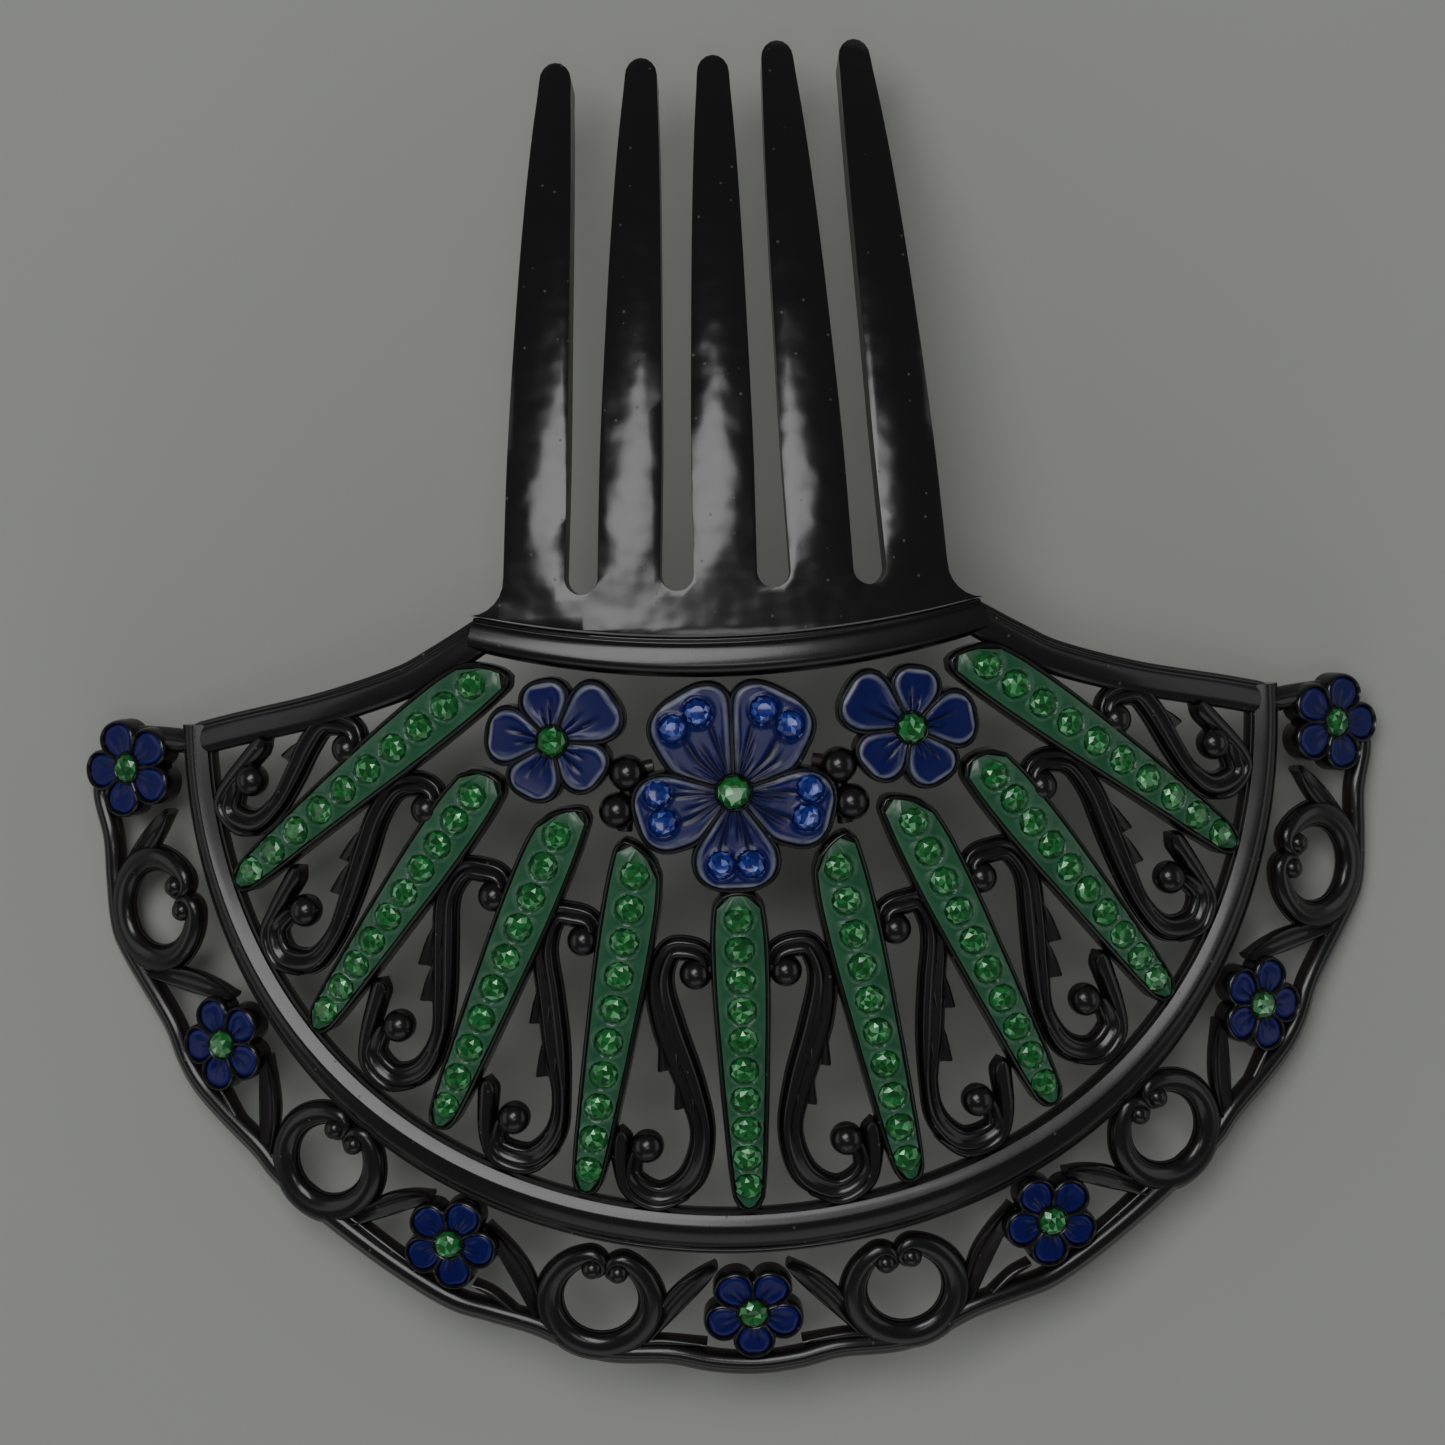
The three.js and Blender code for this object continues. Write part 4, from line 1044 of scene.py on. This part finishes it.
petalSizes = {
    "topW": 0.16, "rimWidth": 0.95, "rimHeight": 0.3, "dish": 0.16, "veinDepth": 0.15, "veinWidth": 0.07875,
    "crowd": 1.8, "soft": 0.35, "veinFade": 0.25, "sheenWearRim": 0.3, "sheenWearWidth": 0.42,
    "wall": 0.6, "floorW": -0.95, "stoneSpread": 1.65, "stoneRadius": 1.52, "stoneHeight": 0.85, "seat": 0.3,
    "cupRadius": 1.5, "cupDepth": 0.25, "lipRadius": 1.68, "lipWidth": 0.2, "lipHeight": 0.16,
    "hubSeat": 0.15, "hubRim": 0.12, "hubRimHalf": 0.32, "hubRimRise": 1.03, "hubFloor": 0.3, "hubSteps": 28,
    "rimHalf": 0.36, "seed": 11,
}


# a petal's half width towards one side, 1 or -1, at a distance from the hub
def petalHalfAt(design, index, distance, side):
    angle, reach, widest = design["petals"][index]
    dividers = design["dividers"][index]
    opening = dividers[1] - angle if side > 0 else angle - dividers[0]
    wedge = math.tan(math.radians(opening)) * distance - design["septum"] / 2
    both = (wedge + widest - math.sqrt((wedge - widest) ** 2 + petalSizes["soft"])) / 2
    into = max(0, (distance - (reach - design["round"])) / design["round"])
    return max(both, 0.1) * max(1 - min(into, 1) ** design["square"], 0) ** (1 / design["square"])


# a point of a flower, from its own petal's distance and side step
def flowerPoint(place, angle, distance, aside):
    turned = math.radians(angle + place["turn"])
    u = distance * math.cos(turned) - aside * math.sin(turned)
    v = distance * math.sin(turned) + aside * math.cos(turned)
    return Vector((place["centre"][0] + u * place["stretch"], place["centre"][1] + v))


def petalLoop(place, design, index, grow):
    angle, reach, _ = design["petals"][index]
    near = []
    far = []
    steps = 22
    for k in range(steps + 1):
        t = 1 - (1 - k / steps) ** petalSizes["crowd"]      # stations crowd towards the tip
        distance = design["hub"] * 0.8 + (reach - design["hub"] * 0.8) * t
        push = grow * (1 - t ** 12)
        reached = distance + grow * t ** 6
        near.append(flowerPoint(place, angle, reached, petalHalfAt(design, index, distance, 1) + push))
        far.append(flowerPoint(place, angle, reached, -petalHalfAt(design, index, distance, -1) - push))
    return near + far[::-1][1:]


def petalSkin(bm, place, design, index, cups):
    angle, reach, _ = design["petals"][index]
    start = design["hub"] * 0.85
    veins = [(k + 0.5) / design["veins"] * 2 - 1 for k in range(design["veins"])]

    def shape(s, t):
        s = 1 - (1 - s) ** petalSizes["crowd"]
        distance = start + (reach - start) * s
        half = max(petalHalfAt(design, index, distance, 1 if t > 0 else -1), 0.03)
        spot = flowerPoint(place, angle, distance, half * t)
        edge = min((1 - abs(t)) * half, (reach - distance) * 1.2)
        rim = min(max(edge / petalSizes["rimWidth"], 0), 1)
        height = petalSizes["topW"] - petalSizes["rimHeight"] * (1 - math.sqrt(1 - (1 - rim) ** 2))
        height -= petalSizes["dish"] * rim ** 2 * math.sin(math.pi * min(s * 1.1, 1))
        cut = 0
        for k, line in enumerate(veins):
            ends = 0.5 + 0.18 * ((k * 7) % 3 - 1)
            fade = min(max((ends - s) / petalSizes["veinFade"], 0), 1)
            cut = max(cut, fade * math.exp(-((t - line) / petalSizes["veinWidth"]) ** 2))
        height -= petalSizes["veinDepth"] * cut
        # a pale line just inside each petal's edge: partly from rubbing, partly a painted sheen on the rim
        rubbedSheen = max(0, 1 - abs(edge - petalSizes["sheenWearRim"]) / petalSizes["sheenWearWidth"])
        wearAndSheen = rubbedSheen * (0.35 + 0.65 * s)      # paler towards the tips: partly from rubbing, partly a painted sheen
        for cup in cups:
            away = (spot - cup).length
            lip = math.exp(-((away - petalSizes["lipRadius"]) / petalSizes["lipWidth"]) ** 2)
            height += petalSizes["lipHeight"] * lip
            height -= petalSizes["cupDepth"] if away < petalSizes["cupRadius"] else 0
        return spot, height, [wearAndSheen, cut]

    skin(bm, design["grid"], design["grid"], shape, petalSizes["floorW"] + 0.1, ["wearAndSheen", "vein"])


def makeFlower(place, design, label, side, dice):
    petals = bmesh.new()
    for index in range(len(design["petals"])):
        cups = []
        if "pairs" in design:
            angle, reach = design["pairs"][index]
            for spread in (-1, 1):
                cups.append(flowerPoint(place, angle, reach, spread * petalSizes["stoneSpread"]))
            for letter, cup in zip("ab", cups):
                single = bmesh.new()
                seat = petalSizes["topW"] - petalSizes["seat"]
                stone(single, cup, petalSizes["stoneRadius"], petalSizes["stoneHeight"], seat, dice)
                finishPiece(f"stonePetal_{index + 1}{letter}", single, blueGlass,
                            [f"stone_petal_{index + 1}{letter}"], 5)
        petalSkin(petals, place, design, index, cups)
    gem = bmesh.new()
    stone(gem, Vector(place["centre"]), *design["stone"], petalSizes["topW"] - petalSizes["hubSeat"], dice)
    handed(side, petals, gem)
    finishPiece(f"petals_{label}", petals, design["enamel"], [f"enamel_flower_{label}"], 50)
    finishPiece(f"stoneFlower_{label}", gem, greenGlass, [design["stoneNode"] + label], 5)


# the black rims and the floor of one flower
def flowerFrame(bm, place, design):
    for index in range(len(design["petals"])):
        loop = petalLoop(place, design, index, petalSizes["wall"] / 2)
        sweep(bm, loop, [petalSizes["rimHalf"]] * len(loop), rimSection, closed=True)
        slab(bm, loop, cellBack, petalSizes["floorW"])
    radius = design["stone"][0]
    steps = petalSizes["hubSteps"]
    loop = circlePath(place["centre"], radius + petalSizes["hubRim"], 0, 360, steps)[:-1]
    section = [(share, height * petalSizes["hubRimRise"]) for share, height in rimSection]
    sweep(bm, loop, [petalSizes["hubRimHalf"]] * steps, section, closed=True)
    slab(bm, circlePath(place["centre"], radius + petalSizes["hubFloor"], 0, 360, steps)[:-1], cellBack, 0)


def makeFlowers():
    dice = random.Random(petalSizes["seed"])
    frames = bmesh.new()
    big, top, border = flowerDesigns["centre"], flowerDesigns["top"], flowerDesigns["border"]
    flowerFrame(frames, top["place"], top)
    for place in borderFlowers[1:]:
        flowerFrame(frames, place, border)
    mirrorOver(frames)
    flowerFrame(frames, big["place"], big)
    flowerFrame(frames, borderFlowers[0], border)
    finishMoulding("crownFlowerFrames", frames, 50)
    makeFlower(big["place"], big, "centre", "middle", dice)
    for side in ("right", "left"):
        makeFlower(top["place"], top, f"top_{side}", side, dice)
    for index, place in enumerate(borderFlowers):
        for side in ("right", "left") if index else ("middle",):
            makeFlower(place, border, f"border_{side}_{index}" if index else f"border_{side}", side, dice)


makeFlowers()
print("flowers made")

beadSizes = {
    "spots": [(11.9, -6.5), (13.2, -10.7)], "radius": 2.1, "topW": 0.88,
    "webs": [[(9, -6), (12.9, -6.7)], [(11.9, -6.5), (12.6, -13.2)]], "webHalf": 0.9, "webRise": 0.55,
}


def makeBeads():
    bm = bmesh.new()
    for u, v in beadSizes["spots"]:
        ball(bm, u, v, beadSizes["radius"], beadSizes["topW"])
    for points in beadSizes["webs"]:
        path, half = smoothRun(points, [beadSizes["webHalf"]] * 2, 0.6)
        sweep(bm, path, half, thinSection, rise=[beadSizes["webRise"]] * len(path))
    mirrorOver(bm)
    finishMoulding("crownBeads", bm, 50)


makeBeads()
print("beads made")

stageSizes = {
    "floor": 1.6, "floorColours": ("#b4b6b0", "#b0b2ac"), "skyStrength": 0.17,
    # the camera's place over the unbent sheet in mm, and its turn in degrees
    "camera": (-0.96, -1.2, 422.03), "cameraTurn": -2.2, "lens": 95.29, "sensor": 36,
    # each light's place, the height it aims at, its two sizes and its power; the window and a low
    # strip above, and the walls of the room on three sides that throw light in under the arch
    "lights": {
        "window": ((-0.18, 0.25, 1), 0.03, 0.6, 0.44, 3.7),
        "lowStrip": ((0, -0.2, 1), 0.03, 0.34, 0.14, 0.4),
        "wallFoot": ((0, -1, 0.42), 0.02, 1.1, 0.5, 0.9),
        "wallLeft": ((-1, 0, 0.4), 0.02, 1.1, 0.5, 1),
        "wallRight": ((1, 0, 0.4), 0.02, 1.1, 0.5, 1),
    },
    "sky": "#c9ccce",
}


# plain paper, matt, so that it takes soft shadows and throws back no glare
def makeFloor():
    bm = bmesh.new()
    bmesh.ops.create_grid(bm, x_segments=2, y_segments=2, size=stageSizes["floor"])
    mesh = bpy.data.meshes.new("floor")
    bm.to_mesh(mesh)
    bm.free()
    material, tree = newMaterial("paper_pale_matt")
    here = addNode(tree, "TexCoord").outputs["Object"]
    tone = addNode(tree, "TexNoise", inputs={"Vector": here, "Scale": perMetre(60), "Detail": 3})
    light, dark = [paint(colour) for colour in stageSizes["floorColours"]]
    colour = addNode(tree, "Mix", {"data_type": "RGBA"}, {
        "Factor": tone.outputs["Fac"], "A": light, "B": dark,
    })
    addSurface(tree, {"Base Color": colour.outputs["Result"], "Roughness": 0.7})
    mesh.materials.append(material)
    floor = bpy.data.objects.new("floor", mesh)
    bpy.context.scene.collection.objects.link(floor)


def softLight(name, place, aimHeight, width, height, power):
    light = bpy.data.lights.new(name, "AREA")
    light.shape = "RECTANGLE"
    light.size = width
    light.size_y = height
    light.energy = power
    lamp = bpy.data.objects.new(name, light)
    lamp.location = place
    aim = Vector((0, 0, aimHeight))
    lamp.rotation_euler = (aim - Vector(place)).to_track_quat("-Z", "Y").to_euler()
    bpy.context.scene.collection.objects.link(lamp)


def makeStudio():
    makeFloor()
    for name, values in stageSizes["lights"].items():
        softLight(name, *values)
    world = bpy.data.worlds.new("studio")
    world.use_nodes = True
    sky = world.node_tree.nodes["Background"]
    sky.inputs["Color"].default_value = paint(stageSizes["sky"])
    sky.inputs["Strength"].default_value = stageSizes["skyStrength"]
    bpy.context.scene.world = world
    lens = bpy.data.cameras.new("camera")
    lens.lens = stageSizes["lens"]
    lens.sensor_width = stageSizes["sensor"]
    camera = bpy.data.objects.new("camera", lens)
    camera.location = (Vector(stageSizes["camera"]) + sheetShift) * mm
    camera.rotation_euler = (0, 0, math.radians(stageSizes["cameraTurn"]))
    bpy.context.scene.collection.objects.link(camera)
    bpy.context.scene.camera = camera


makeStudio()
print("studio made")
